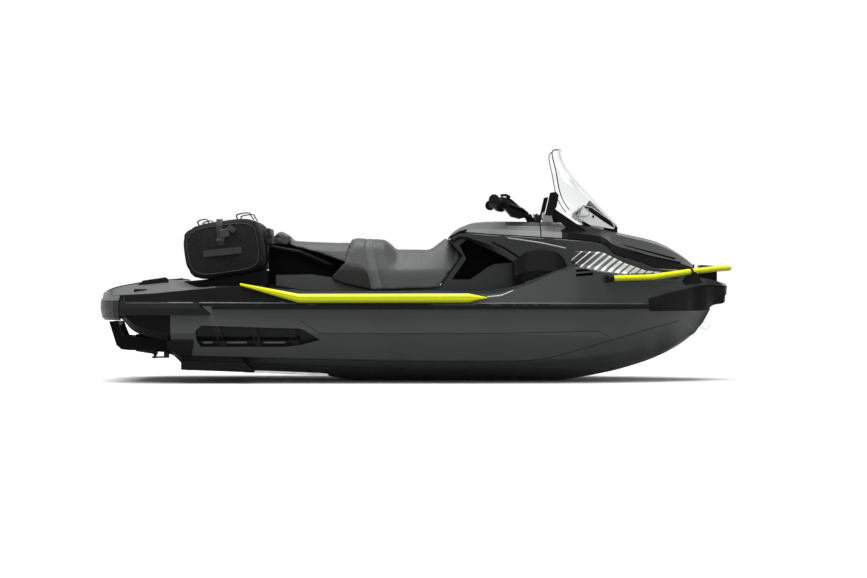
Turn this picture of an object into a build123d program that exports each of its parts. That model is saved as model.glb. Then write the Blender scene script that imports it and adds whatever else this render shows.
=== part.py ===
"""A three-place touring personal watercraft with a cargo bag on its rear rack.

+X points to the bow, +Y to port and +Z up. Heights are measured up from the lowest point of the keel, as in a boat's
table of offsets, and the finished pieces are lowered so that the origin lies in the water plane, amidships.
Sub-parts that come in pairs are drawn on the starboard side (-Y) and mirrored to port.
"""

import os
from math import atan2, cos, radians, sin

from build123d import *

# ---------------------------------------------------------------- driving dimensions, mm
DRAFT = 260  # keel to water plane, afloat and unladen
HULL_LENGTH = 2900  # transom to stem, at the bond line
TRANSOM_X = -1300
HALF_BEAM = 600  # hull alone, at the bond line
BOND_H = 410  # flat flange where hull and deck are bonded
PLATFORM_LENGTH = 395  # swim platform, aft of the transom
BOW_OVERHANG = 90  # deck nose, ahead of the stem at the bond line
SKIN = 8  # moulded wall of tubs and bins
SEAT_GAP = 0.3  # a soft or bolted-on piece from its seat
MOVING_GAP = 6  # between bodies that move past each other

STEM_X = TRANSOM_X + HULL_LENGTH
STERN_X = TRANSOM_X - PLATFORM_LENGTH
NOSE_X = STEM_X + BOW_OVERHANG


# ---------------------------------------------------------------- helpers
def fair(t, knots):
    """The value at t on a smooth line through the knots, with no bump between two of them."""
    if t <= knots[0][0]:
        return knots[0][1]
    if t >= knots[-1][0]:
        return knots[-1][1]
    slopes = [(b[1] - a[1]) / (b[0] - a[0]) for a, b in zip(knots, knots[1:])]

    def tangent(i):
        if i in (0, len(knots) - 1):
            return slopes[0 if i == 0 else -1]
        before, after = slopes[i - 1], slopes[i]
        return 2 * before * after / (before + after) if before * after > 0 else 0

    i = max(k for k in range(len(knots) - 1) if knots[k][0] <= t)
    (t0, v0), (t1, v1) = knots[i : i + 2]
    span = t1 - t0
    s = (t - t0) / span
    rise = 3 * s**2 - 2 * s**3
    bend = tangent(i) * (s**3 - 2 * s**2 + s) + tangent(i + 1) * (s**3 - s**2)
    return v0 + (v1 - v0) * rise + span * bend


def straight(t, knots):
    """The value at t on straight runs between the knots."""
    for (t0, v0), (t1, v1) in zip(knots, knots[1:]):
        if t <= t1:
            return v0 + (v1 - v0) * (t - t0) / (t1 - t0)
    return knots[-1][1]


def station(x, half):
    """A closed face across the craft at x, from a half outline that runs keel to crown, mirrored to port."""
    other = [(-y, h) for y, h in reversed(half) if y > 0]
    with BuildSketch(Plane.YZ.offset(x)) as face:
        with BuildLine():
            Polyline(*half, *other, close=True)
        make_face()
    return face.sketch


def side_station(x, outline):
    """A closed face across one side at x. The outline gives distances to starboard, and heights."""
    with BuildSketch(Plane.YZ.offset(x)) as face:
        with BuildLine():
            Polyline(*[(-y, h) for y, h in outline], close=True)
        make_face()
    return face.sketch


def side_view(outline, rounding=0):
    """A closed face in the craft's side view, on the centreline, with its corners rounded."""
    with BuildSketch(Plane.XZ) as face:
        with BuildLine():
            Polyline(*outline, close=True)
        make_face()
        if rounding:
            fillet(face.vertices(), rounding)
    return face.sketch


# ---------------------------------------------------------------- hull lines
# Each line: (share of hull length from the transom, share of half beam or of bond height).
KEEL_H = [(0, 0.139), (0.14, 0.1), (0.27, 0.066), (0.31, 0.005), (0.45, 0), (0.7, 0), (0.796, 0.094),
          (0.87, 0.234), (0.911, 0.349), (0.945, 0.483), (0.976, 0.67), (1, 0.93)]
STRAKE_Y = [(0, 0.55), (0.455, 0.55), (0.608, 0.53), (0.72, 0.475), (0.796, 0.335), (0.87, 0.15),
            (0.911, 0.042), (0.945, 0.025), (0.976, 0.01), (1, 0.007)]
STRAKE_H = [(0, 0.27), (0.14, 0.24), (0.31, 0.185), (0.455, 0.175), (0.608, 0.17), (0.72, 0.175),
            (0.796, 0.21), (0.87, 0.293), (0.911, 0.371), (0.945, 0.5), (0.976, 0.678), (1, 0.932)]
CHINE_Y = [(0, 0.8), (0.14, 0.81), (0.455, 0.8), (0.608, 0.77), (0.72, 0.7), (0.796, 0.575), (0.87, 0.317),
           (0.911, 0.092), (0.945, 0.058), (0.976, 0.023), (1, 0.013)]
CHINE_H = [(0, 0.366), (0.14, 0.346), (0.31, 0.32), (0.455, 0.302), (0.608, 0.298), (0.72, 0.32),
           (0.796, 0.366), (0.87, 0.42), (0.911, 0.402), (0.945, 0.52), (0.976, 0.685), (1, 0.937)]
KNUCKLE_Y = [(0, 0.933), (0.14, 0.95), (0.455, 0.947), (0.608, 0.917), (0.72, 0.842), (0.796, 0.717),
             (0.87, 0.533), (0.911, 0.408), (0.945, 0.275), (0.976, 0.05), (1, 0.023)]
KNUCKLE_H = [(0, 0.654), (0.455, 0.646), (0.608, 0.64), (0.72, 0.62), (0.796, 0.59), (0.87, 0.7),
             (0.911, 0.775), (0.945, 0.817), (0.976, 0.702), (1, 0.944)]
SHEER_Y = [(0, 0.958), (0.14, 0.98), (0.455, 1), (0.608, 0.975), (0.72, 0.908), (0.796, 0.808),
           (0.87, 0.667), (0.911, 0.55), (0.945, 0.43), (0.976, 0.267), (1, 0.067)]
HULL_STATIONS = [0.04 * i for i in range(20)] + [0.8 + 0.02 * i for i in range(11)]


def hull_x(t):
    """Distance along the craft of a share of the hull's length."""
    return TRANSOM_X + t * HULL_LENGTH


def hull_t(x):
    return (x - TRANSOM_X) / HULL_LENGTH


def sheer_y(x):
    """Half breadth of the hull at the bond line."""
    return HALF_BEAM * fair(hull_t(x), SHEER_Y)


def keel_h(x):
    return BOND_H * fair(hull_t(x), KEEL_H)


def hull_half(t):
    """Half section of the hull, keel to bond line."""
    return [
        (0, BOND_H * fair(t, KEEL_H)),
        (HALF_BEAM * fair(t, STRAKE_Y), BOND_H * fair(t, STRAKE_H)),
        (HALF_BEAM * fair(t, CHINE_Y), BOND_H * fair(t, CHINE_H)),
        (HALF_BEAM * fair(t, KNUCKLE_Y), BOND_H * fair(t, KNUCKLE_H)),
        (HALF_BEAM * fair(t, SHEER_Y), BOND_H),
        (0, BOND_H),
    ]


# ---------------------------------------------------------------- deck lines
# (distance along the craft, height or half breadth), on the deck's shoulder and on its flat inboard of it.
# share of platform length, of half beam
PLATFORM_Y = [(0, 0.42), (0.05, 0.58), (0.12, 0.7), (0.3, 0.85), (0.8, 0.945), (1, 0.958)]
SHOULDER_H = [(0, 462), (0.034, 468), (0.0925, 478), (0.1275, 490), (0.21, 512), (0.23, 514), (0.275, 495),
              (0.323, 474), (0.61, 474), (0.663, 511), (0.742, 604), (0.79, 590), (0.854, 552),
              (0.894, 540), (0.938, 530), (0.974, 522), (1, 517)]
TOP_H = [(0, 480), (0.034, 512), (0.0925, 543), (0.118, 548), (0.15, 512), (0.21, 516), (0.275, 520), (0.323, 490),
         (0.61, 490), (0.663, 545), (0.742, 640), (0.79, 636), (0.854, 600), (0.894, 575), (0.938, 566),
         (0.974, 552), (1, 524)]
TOP_Y = [(0, 330), (0.034, 430), (0.1275, 400), (0.275, 420), (0.323, 540), (0.61, 530), (0.663, 420),
         (0.742, 300), (0.854, 230), (0.894, 190), (0.938, 140), (0.974, 80), (1, 30)]
NOSE_Y = [(0.85, 0), (0.938, 6), (0.974, 95), (1, 45)]  # how far the shoulder flares past the bond line
DECK_STATIONS = [0, 0.006, 0.014] + [0.03 + 0.03 * i for i in range(28)] + [0.855 + 0.0145 * i for i in range(11)]
SHOULDER_INSET = 12


def deck_x(t):
    """Distance along the craft of a share of the deck's length."""
    return STERN_X + t * (NOSE_X - STERN_X)


def deck_t(x):
    return (x - STERN_X) / (NOSE_X - STERN_X)


def deck_edge_y(x):
    """Half breadth of the deck where it meets the bond line, swim platform included."""
    if x < TRANSOM_X:
        return HALF_BEAM * fair((x - STERN_X) / PLATFORM_LENGTH, PLATFORM_Y)
    return sheer_y(x)


def shoulder_h(x):
    return fair(deck_t(x), SHOULDER_H)


def shoulder_y(x):
    return deck_edge_y(x) - SHOULDER_INSET + fair(deck_t(x), NOSE_Y)


def deck_top_h(x):
    return fair(deck_t(x), TOP_H)


def deck_foot_h(x):
    """Underside of the deck: the bond line, rising ahead of the stem."""
    return BOND_H + max(0, x - STEM_X + 30) * 0.5


def deck_half(x):
    """Half section of the deck, bond line to crown."""
    top_y = min(fair(deck_t(x), TOP_Y), shoulder_y(x) - 30)
    return [
        (0, deck_foot_h(x)),
        (deck_edge_y(x), deck_foot_h(x)),
        (shoulder_y(x), shoulder_h(x)),
        (top_y, deck_top_h(x)),
        (0, deck_top_h(x) + 4),
    ]


# ---------------------------------------------------------------- footwells and bays
WELL_FLOOR_H = 330
WELL_REAR_X = -820
WELL_FRONT_X = 600
WELL_INNER_Y = 238
WELL_OUTER_Y = 505
WELL_TOP_H = 700  # above every deck surface that the wells cut


def well_outline(grow):
    """Side view of a footwell, or of its tub when grown by the wall."""
    return [
        (WELL_REAR_X - grow, WELL_TOP_H),
        (WELL_REAR_X - grow, 470),
        (WELL_REAR_X + 90 - grow / 2, WELL_FLOOR_H + 14 - grow),
        (WELL_FRONT_X - 190 + grow / 2, WELL_FLOOR_H - grow),
        (WELL_FRONT_X - 40 + grow, 470),
        (WELL_FRONT_X + grow, WELL_TOP_H),
    ]


ENGINE_LENGTH, ENGINE_WIDTH, ENGINE_HEIGHT = 700, 350, 420
ENGINE_X = -130
ENGINE_FOOT_H = 100
BAY_CLEARANCE = 10
ENGINE_SPAN = (ENGINE_X - ENGINE_LENGTH / 2 - BAY_CLEARANCE, ENGINE_X + ENGINE_LENGTH / 2 + BAY_CLEARANCE)
BIN_REAR_X, BIN_FRONT_X = 640, 1300
BIN_HALF_WIDTH = 185
BIN_FLOOR_H = 290
BIN_RIM_H = 560

PUMP_H = 205  # height of the pump's axis
PUMP_BORE_R = 82
PUMP_WELL_FRONT_X = TRANSOM_X + 250
PUMP_WELL_HALF = 152
PUMP_WELL_TOP_H = 335
INTAKE_FRONT_X = PUMP_WELL_FRONT_X + 560
INTAKE_HALF = 84
PLATE_THICK = 14
INTAKE = [  # side view of the intake duct
    (PUMP_WELL_FRONT_X - 10, PUMP_H + PUMP_BORE_R),
    (PUMP_WELL_FRONT_X + 120, PUMP_H + PUMP_BORE_R),
    (INTAKE_FRONT_X, 20),
    (INTAKE_FRONT_X, -50),
    (PUMP_WELL_FRONT_X + 110, -50),
    (PUMP_WELL_FRONT_X + 90, 60),
    (PUMP_WELL_FRONT_X + 50, PUMP_H - PUMP_BORE_R),
    (PUMP_WELL_FRONT_X - 10, PUMP_H - PUMP_BORE_R),
]


def spread(start, end, count):
    return [start + (end - start) * i / (count - 1) for i in range(count)]


# ---------------------------------------------------------------- solids used to cut and seat other pieces
HULL_FORM = loft(sections=[station(hull_x(t), hull_half(t)) for t in HULL_STATIONS])


def prism(outline, near, far, rounding=0):
    """A side-view outline, solid from one distance to starboard to another."""
    face = side_view(outline, rounding)
    return Pos(0, -near, 0) * extrude(face, amount=far - near, mode=Mode.PRIVATE)


def slab(outline, half_width, rounding=0):
    """A side-view outline, solid over the centreline to half_width each side."""
    return extrude(side_view(outline, rounding), amount=half_width, both=True, mode=Mode.PRIVATE)


def hull_grown(grow, x0, x1):
    """The hull's own form over a stretch, moved out by grow on its sides."""
    faces = []
    for x in spread(x0, x1, 9):
        half = [(y + grow if y else 0, h) for y, h in hull_half(hull_t(x))]
        faces.append(station(x, half))
    return loft(sections=faces, mode=Mode.PRIVATE)


def side_loft(xs, outline, ruled=False):
    """A solid on the starboard side through outline(x), which gives distances to starboard, and heights."""
    return loft(sections=[side_station(x, outline(x)) for x in xs], ruled=ruled, mode=Mode.PRIVATE)


def tube(path, radius):
    """A round bar along the points of a path, with its corners turned on arcs."""
    runs = [(Vector(*b) - Vector(*a)).length for a, b in zip(path, path[1:])]
    bends = [0.42 * min(r0, r1) for r0, r1 in zip(runs, runs[1:])]
    with BuildLine() as route:
        FilletPolyline(*path, radius=bends)
    with BuildSketch(Plane(origin=path[0], z_dir=Vector(*path[1]) - Vector(*path[0]))) as round_bar:
        Circle(radius)
    return sweep(sections=round_bar.sketch, path=route.line, mode=Mode.PRIVATE)


def rod(start, end, radius):
    """A straight round bar from one point to another."""
    axis = Vector(*end) - Vector(*start)
    return Solid.make_cylinder(radius, axis.length, Plane(origin=start, z_dir=axis))


def box(x0, x1, y0, y1, h0, h1):
    """A block between two corners."""
    return Solid.make_box(x1 - x0, y1 - y0, h1 - h0, Plane(origin=(x0, y0, h0)))


def port(shape):
    """The mirror image of a starboard shape."""
    return mirror(shape, about=Plane.XZ, mode=Mode.PRIVATE)


def both(shape):
    return [shape, port(shape)]


# ---------------------------------------------------------------- hull and deck
VENT = [(-1170, 279), (-1135, 308), (-618, 292), (-587, 279), (-513, 232), (-618, 205), (-697, 195), (-1145, 195),
        (-1166, 232)]
VENT_DEPTH = 30
BOND_FREE_X = 1300  # ahead of here the deck's foot is trimmed clear of the hull
TRANSOM_RAKE = [(TRANSOM_X - 100, 170), (TRANSOM_X, 165), (TRANSOM_X + 52, 60), (TRANSOM_X + 52, -60),
                (TRANSOM_X - 100, -60)]
SHAFT_R = 14
SHAFT_TUBE_R = 20

with BuildPart() as hull:
    add(HULL_FORM)
    add(slab(TRANSOM_RAKE, 700), mode=Mode.SUBTRACT)
    tub = prism(well_outline(SKIN), WELL_INNER_Y - SKIN, WELL_OUTER_Y + SKIN)
    add(both(tub), mode=Mode.SUBTRACT)
    engine_bay = box(*ENGINE_SPAN, -ENGINE_WIDTH / 2 - BAY_CLEARANCE, ENGINE_WIDTH / 2 + BAY_CLEARANCE,
                     ENGINE_FOOT_H, ENGINE_FOOT_H + ENGINE_HEIGHT + BAY_CLEARANCE)
    bin_bay = box(BIN_REAR_X - SKIN, BIN_FRONT_X + SKIN, -BIN_HALF_WIDTH - SKIN, BIN_HALF_WIDTH + SKIN,
                  BIN_FLOOR_H - SKIN, 2 * BOND_H)
    pump_well = box(TRANSOM_X - 9, PUMP_WELL_FRONT_X, -PUMP_WELL_HALF, PUMP_WELL_HALF, -9, PUMP_WELL_TOP_H)
    shaft_tube = rod((PUMP_WELL_FRONT_X - 1, 0, PUMP_H), (ENGINE_X, 0, PUMP_H), SHAFT_TUBE_R)
    add([engine_bay, bin_bay, pump_well, shaft_tube, slab(INTAKE, INTAKE_HALF)], mode=Mode.SUBTRACT)
    vent_cut = prism(VENT, 400, 700) - hull_grown(-VENT_DEPTH, VENT[0][0] - 60, VENT[4][0] + 60)
    add(both(vent_cut), mode=Mode.SUBTRACT)
    hull.part.label = "hull"

SLOT_X = (838, 930)
SLOT_H = (566, 590)
SLOT_RISE, SLOT_HEIGHT, SLOT_DEPTH = 8, 14, 18

with BuildPart() as deck:
    loft(sections=[station(deck_x(t), deck_half(deck_x(t))) for t in DECK_STATIONS])
    below_bond = box(-2000, 2000, -700, 700, 0, BOND_H)
    add(both(tub & below_bond))
    add(both(prism(well_outline(0), WELL_INNER_Y, WELL_OUTER_Y)), mode=Mode.SUBTRACT)
    bond_face = box(BOND_FREE_X, STEM_X, -HALF_BEAM, HALF_BEAM, BOND_H - SKIN, BOND_H + SEAT_GAP)
    add([engine_bay, bin_bay, bond_face], mode=Mode.SUBTRACT)
    # two outlet slots in each shoulder, ahead of the footwell
    for h0 in SLOT_H:
        x0, x1 = SLOT_X
        slot = prism([(x0, h0), (x1, h0 + SLOT_RISE), (x1, h0 + SLOT_RISE + SLOT_HEIGHT), (x0, h0 + SLOT_HEIGHT)],
                     shoulder_y(x1) - SLOT_DEPTH, HALF_BEAM)
        add(both(slot), mode=Mode.SUBTRACT)
    deck.part.label = "deck"

# ---------------------------------------------------------------- stern
CAP_FRONT_X = -1573
CAP_LEVELS = [(335, -6), (350, 8), (395, 15), (440, 13), (466, -4)]  # height, and how far the cap stands out
CAP_WALL = 34
CAP_XS = (CAP_FRONT_X, -1600, -1625, -1647, -1665, -1679, -1689, STERN_X)
SKIRT_FOOT = [(-1580, 345), (-1477, 263), (TRANSOM_X, 226)]
SKIRT_INNER_Y = 330
SIDE_RAIL_FRONT_X = -1090
EYE_BORE_R = 14
EYE_RIM_R = 26
EYE_LENGTH = 12
EYE_X = TRANSOM_X - 30
EYE_Y = 285
EYE_H = 310


def cap_edge(out):
    """The platform's edge from above, moved out, from the cap's seam to the centreline."""
    line = []
    for x in CAP_XS:
        turn = atan2(deck_edge_y(x + 3) - deck_edge_y(x), 3)
        line.append((x - out * sin(turn), deck_edge_y(x) + out * cos(turn)))
    return line + [(STERN_X - out, 0)]


def cap_ring(height, out):
    """The cap's section at a height: a band round the platform's aft end."""
    outer, inner = cap_edge(out), cap_edge(out - CAP_WALL)
    half = outer + inner[::-1]
    with BuildSketch(Plane.XY.offset(height)) as ring:
        with BuildLine():
            Polyline(*half, close=True)
        make_face()
        mirror(about=Plane.XZ)
    return ring.sketch


with BuildPart() as stern_cap:
    loft(sections=[cap_ring(*level) for level in CAP_LEVELS], ruled=True)
    add(deck.part, mode=Mode.SUBTRACT)
    add(box(CAP_FRONT_X, TRANSOM_X, -HALF_BEAM - 60, HALF_BEAM + 60, 0, BOND_H + 200), mode=Mode.SUBTRACT)
    stern_cap.part.label = "stern_cap"

with BuildPart() as stern_skirts:
    def skirt_outline(x):
        foot = fair(x, SKIRT_FOOT)
        edge = deck_edge_y(x)
        return [(SKIRT_INNER_Y, foot), (edge - 70, foot), (edge - 34, foot + 40), (edge - 26, BOND_H),
                (SKIRT_INNER_Y, BOND_H)]

    skirt = side_loft(spread(SKIRT_FOOT[0][0], TRANSOM_X, 8), skirt_outline) - stern_cap.part
    add(both(skirt))
    stern_skirts.part.label = "stern_skirts"

with BuildPart() as stern_rails:
    def rail_outline(x):
        edge = deck_edge_y(x)
        return [(edge - 40, 360), (edge + 16, 364), (edge + 22, 400), (edge + 16, 432), (edge - 40, 437)]

    rail = side_loft(spread(CAP_FRONT_X + 1, SIDE_RAIL_FRONT_X, 9), rail_outline)
    rail = rail - deck.part - HULL_FORM - skirt - stern_cap.part
    add(both(rail))
    add(slab([(SIDE_RAIL_FRONT_X - 51, 411), (SIDE_RAIL_FRONT_X + 9, 350), (SIDE_RAIL_FRONT_X + 9, 450),
              (SIDE_RAIL_FRONT_X - 61, 450)], 900), mode=Mode.SUBTRACT)
    stern_rails.part.label = "stern_rails"

with BuildPart() as platform_mat:
    def mat_half(x):
        half_width = min(fair(deck_t(x), TOP_Y), shoulder_y(x) - 30) - 14
        return [(0, deck_top_h(x) - 20), (half_width, deck_top_h(x) - 20), (half_width, deck_top_h(x) + 6),
                (0, deck_top_h(x) + 10)]

    loft(sections=[station(x, mat_half(x)) for x in spread(STERN_X + 30, -1290, 9)])
    add(deck.part, mode=Mode.SUBTRACT)
    platform_mat.part.label = "platform_mat"

with BuildPart() as stern_cleats:
    low_block = box(-1499, -1431, -506, -470, 448, 501)
    low_block = low_block.fillet(6, low_block.edges().group_by(Axis.Z)[-1])
    wedge = prism([(-1504, 470), (-1504, 506), (-1458, 546), (-1340, 563), (-1325, 550), (-1325, 470)], 405, 441, 5)
    for cleat in (low_block, wedge):
        add(both(cleat - deck.part))
    add(platform_mat.part, mode=Mode.SUBTRACT)
    stern_cleats.part.label = "stern_cleats"

# ---------------------------------------------------------------- hull sides
SPONSON_REAR_X, SPONSON_FRONT_X = -1252, -868
SHOE_OUT = 22
GUNWALE_OUT = 27
GUNWALE_LOW_H, GUNWALE_HIGH_H = 392, 418
BUMPER_REAR_X = 1243
BUMPER_THICK = 34
BUMPER_LOW = [(0, 382), (0.66, 384), (0.76, 410), (0.88, 424), (0.96, 470), (1, 490)]
BUMPER_HIGH = [(0, 452), (0.45, 500), (0.6, 510), (1, 514)]
BUMPER_NOSE = 22
TRIM_OUT = 18
TRIM_REAR_X, TRIM_FRONT_X = -931, 366
TRIM_XS = (TRIM_REAR_X, -860, -780, -700, -622, -400, -100, 150, 270, TRIM_FRONT_X)
TRIM_HIGH = [(TRIM_REAR_X, 531), (-622, 475), (270, 477), (TRIM_FRONT_X, 457)]
TRIM_LOW = [(TRIM_REAR_X, 517), (-622, 429), (270, 430), (TRIM_FRONT_X, 450)]

with BuildPart() as sponsons:
    def sponson_outline(x):
        chine_y = HALF_BEAM * fair(hull_t(x), CHINE_Y)
        chine_h = BOND_H * fair(hull_t(x), CHINE_H)
        foot = 72 - 14 * (x - SPONSON_REAR_X) / (SPONSON_FRONT_X - SPONSON_REAR_X)
        return [(chine_y - 110, foot + 66), (chine_y - 110, foot + 6), (chine_y - 96, foot), (chine_y - 4, foot),
                (chine_y + 8, foot + 10), (chine_y + 8, foot + 43), (chine_y + 2, foot + 50),
                (chine_y - 12, foot + 54), (chine_y - 16, chine_h + 6)]

    sponson = side_loft(spread(SPONSON_REAR_X, SPONSON_FRONT_X, 5), sponson_outline) - HULL_FORM
    sponson = sponson - prism([(SPONSON_FRONT_X - 50, 112), (SPONSON_FRONT_X + 9, 64), (SPONSON_FRONT_X + 9, 260),
                               (SPONSON_FRONT_X - 90, 260)], 300, 700)
    shoe = prism([(TRANSOM_X - SHOE_OUT, 226), (-1180, 226), (-1195, 146), (TRANSOM_X + 40, 146), (TRANSOM_X, 172),
                  (TRANSOM_X - SHOE_OUT, 180)], 430, 640)
    shoe = (shoe & hull_grown(12, TRANSOM_X - SHOE_OUT, -1150)) - HULL_FORM - skirt
    add(both(sponson + shoe))
    sponsons.part.label = "sponsons"

with BuildPart() as hull_vents:
    vent_x0, vent_x1 = VENT[0][0] - 60, VENT[4][0] + 60
    panel = prism(VENT, 400, 700) & hull_grown(-VENT_DEPTH + 10, vent_x0, vent_x1)
    panel = panel - hull_grown(-VENT_DEPTH, vent_x0, vent_x1)
    for x in (-1050, -860, -660):
        rib = prism([(x - 30, 310), (x + 6, 310), (x + 44, 190), (x + 8, 190)], 400, 700) & prism(VENT, 400, 700)
        rib = rib & hull_grown(-6, vent_x0, vent_x1)
        panel = panel + (rib - hull_grown(-VENT_DEPTH, vent_x0, vent_x1))
    add(both(panel))
    hull_vents.part.label = "hull_vents"

with BuildPart() as rub_rail:
    rail = side_loft(
        spread(SIDE_RAIL_FRONT_X + 12, BUMPER_REAR_X - 4, 14),
        lambda x: [(sheer_y(x) - 20, GUNWALE_LOW_H), (sheer_y(x) + GUNWALE_OUT, GUNWALE_LOW_H + 4),
                   (sheer_y(x) + GUNWALE_OUT, GUNWALE_HIGH_H - 5), (sheer_y(x) - 20, GUNWALE_HIGH_H)],
    )
    add(both(rail - HULL_FORM - deck.part))
    rub_rail.part.label = "rub_rail"

with BuildPart() as bow_bumper:
    def bumper_half(t):
        x = BUMPER_REAR_X + t * (NOSE_X + BUMPER_NOSE - BUMPER_REAR_X)
        out = max(deck_edge_y(x), shoulder_y(x)) + BUMPER_THICK * (0.5 + 0.5 * min(1, 6 * t)) * (1 - 0.6 * t**6)
        low, high = fair(t, BUMPER_LOW), fair(t, BUMPER_HIGH)
        return station(x, [(0, low), (out - 14, low), (out, (low + high) / 2), (out - 5, high), (0, high)])

    form = loft(sections=[bumper_half(t) for t in spread(0, 1, 14)], mode=Mode.PRIVATE)
    add((form - bin_bay - HULL_FORM - deck.part).solids().sort_by(SortBy.VOLUME)[-1])
    bow_bumper.part.label = "bow_bumper"

with BuildPart() as side_trim:
    def trim_outline(x):
        low, high = straight(x, TRIM_LOW), straight(x, TRIM_HIGH)
        out = sheer_y(x) + TRIM_OUT * min(1, 0.4 + (x - TRIM_REAR_X) / 250, 0.2 + (TRIM_FRONT_X - x) / 150)
        return [(sheer_y(x) - 40, low), (out - 5, low), (out, low + (high - low) * 0.25),
                (out, low + (high - low) * 0.7), (out - 12, high), (sheer_y(x) - 40, high)]

    add(both(side_loft(TRIM_XS, trim_outline, ruled=True) - deck.part))
    side_trim.part.label = "side_trim"

with BuildPart() as footwell_mats:
    floor = [(WELL_REAR_X + 100, WELL_FLOOR_H + 40), (WELL_FRONT_X - 196, WELL_FLOOR_H + 40)]
    rise = 14 * 1.0 / (WELL_FRONT_X - 190 - WELL_REAR_X - 90)
    foot = [(x, WELL_FLOOR_H + rise * (WELL_FRONT_X - 190 - x) + SEAT_GAP) for x, _ in floor]
    mat = prism([foot[0], foot[1], (foot[1][0], foot[1][1] + 8), (foot[0][0], foot[0][1] + 8)],
                WELL_INNER_Y + 6, WELL_OUTER_Y - 6)
    add(both(mat))
    footwell_mats.part.label = "footwell_mats"

# ---------------------------------------------------------------- jet pump
PUMP_FRONT_X = PUMP_WELL_FRONT_X
PUMP_WALL = 9
VENTURI_NECK_X, VENTURI_NECK_R = -1390, 47
VENTURI_REAR_X = -1436
VENTURI_R = 44
NOZZLE_PIVOT_X = -1446
NOZZLE_REAR_X = -1550
NOZZLE_R = 47
NOZZLE_WALL = 6
PIN_R = 8
BUCKET_PIVOT = (-1430, 215)
BUCKET_R = 152
BUCKET_WALL = 6
BUCKET_HALF = 112
BUCKET_FROM, BUCKET_TO = 36, 92
BLADES = 4
BLADE_TIP_R = 77


def turned(profile):
    """A solid turned about the pump's axis, from (distance along, radius) pairs."""
    with BuildSketch(Plane.XZ) as face:
        with BuildLine():
            Polyline(*[(x, PUMP_H + r) for x, r in profile], close=True)
        make_face()
    return revolve(face.sketch, axis=Axis((0, 0, PUMP_H), (1, 0, 0)), mode=Mode.PRIVATE)


with BuildPart() as pump_housing:
    throat_x = -1290
    add(turned([(PUMP_FRONT_X, PUMP_BORE_R), (PUMP_FRONT_X, 118), (PUMP_FRONT_X - 14, 118),
                (PUMP_FRONT_X - 14, PUMP_BORE_R + PUMP_WALL), (throat_x, PUMP_BORE_R + PUMP_WALL),
                (VENTURI_NECK_X, VENTURI_NECK_R + 5), (VENTURI_REAR_X, VENTURI_R + 5), (VENTURI_REAR_X, VENTURI_R),
                (VENTURI_NECK_X, VENTURI_NECK_R), (throat_x, PUMP_BORE_R)]))
    # stator: a hub with straightening vanes
    hub = turned([(-1196, 0), (-1196, 32), (-1260, 32), (-1350, 8), (-1350, 0)])
    for k in range(6):
        vane = box(-1284, -1206, -2.5, 2.5, PUMP_H + 26, PUMP_H + PUMP_BORE_R + 2)
        hub = hub + Pos(0, 0, PUMP_H) * Rot(60 * k, 0, 0) * Pos(0, 0, -PUMP_H) * vane
    add(hub)
    # lugs for the nozzle's pins, above and below, and ears for the bucket's pins
    for side in (-1, 1):
        z0, z1 = sorted((PUMP_H + side * 74, PUMP_H + side * 83))
        lug = box(NOZZLE_PIVOT_X - 16, -1380, -16, 16, z0, z1)
        z0, z1 = sorted((PUMP_H + side * 50, PUMP_H + side * 83))
        lug = lug + box(-1396, -1368, -16, 16, z0, z1)
        add(lug)
        ear = box(BUCKET_PIVOT[0] - 14, -1300, side * 92 - 5, side * 92 + 5, 200, 230)
        ear = ear + box(-1312, -1290, side * 86 - 11, side * 86 + 11, 196, 234)
        add(ear)
        add(rod((BUCKET_PIVOT[0], side * 92, BUCKET_PIVOT[1]), (BUCKET_PIVOT[0], side * 118, BUCKET_PIVOT[1]), PIN_R))
        add(rod((NOZZLE_PIVOT_X, 0, PUMP_H + side * 60), (NOZZLE_PIVOT_X, 0, PUMP_H + side * 86), PIN_R))
    add(turned([(PUMP_FRONT_X + 1, 0), (PUMP_FRONT_X + 1, PUMP_BORE_R), (throat_x, PUMP_BORE_R),
                (VENTURI_NECK_X, VENTURI_NECK_R), (VENTURI_REAR_X, VENTURI_R), (VENTURI_REAR_X, 0)]) - hub, mode=Mode.SUBTRACT)
    pump_housing.part.label = "pump_housing"

with BuildPart() as impeller:
    blade_root, blade_tip = 20, BLADE_TIP_R
    sections = []
    for r, pitch, chord in ((blade_root, 38, 70), (48, 55, 88), (blade_tip, 64, 100)):
        plane = Plane(origin=(-1140, 0, PUMP_H + r), x_dir=(1, 0, 0), z_dir=(0, 0, 1))
        with BuildSketch(plane.rotated((0, 0, pitch))) as blade_section:
            Rectangle(chord, 3.5)
        sections.append(blade_section.sketch)
    blade = loft(sections=sections, ruled=True, mode=Mode.PRIVATE) & turned([(-1090, 0), (-1090, blade_tip), (-1190, blade_tip),
                                                          (-1190, 0)])
    add(turned([(-1088, 0), (-1088, 26), (-1104, 31), (-1190, 31), (-1190, 0)]))
    for k in range(BLADES):
        add(Pos(0, 0, PUMP_H) * Rot(360 / BLADES * k, 0, 0) * Pos(0, 0, -PUMP_H) * blade)
    add(rod((-1100, 0, PUMP_H), (ENGINE_SPAN[0] + BAY_CLEARANCE - SEAT_GAP, 0, PUMP_H), SHAFT_R))
    impeller.part.label = "impeller"

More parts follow.
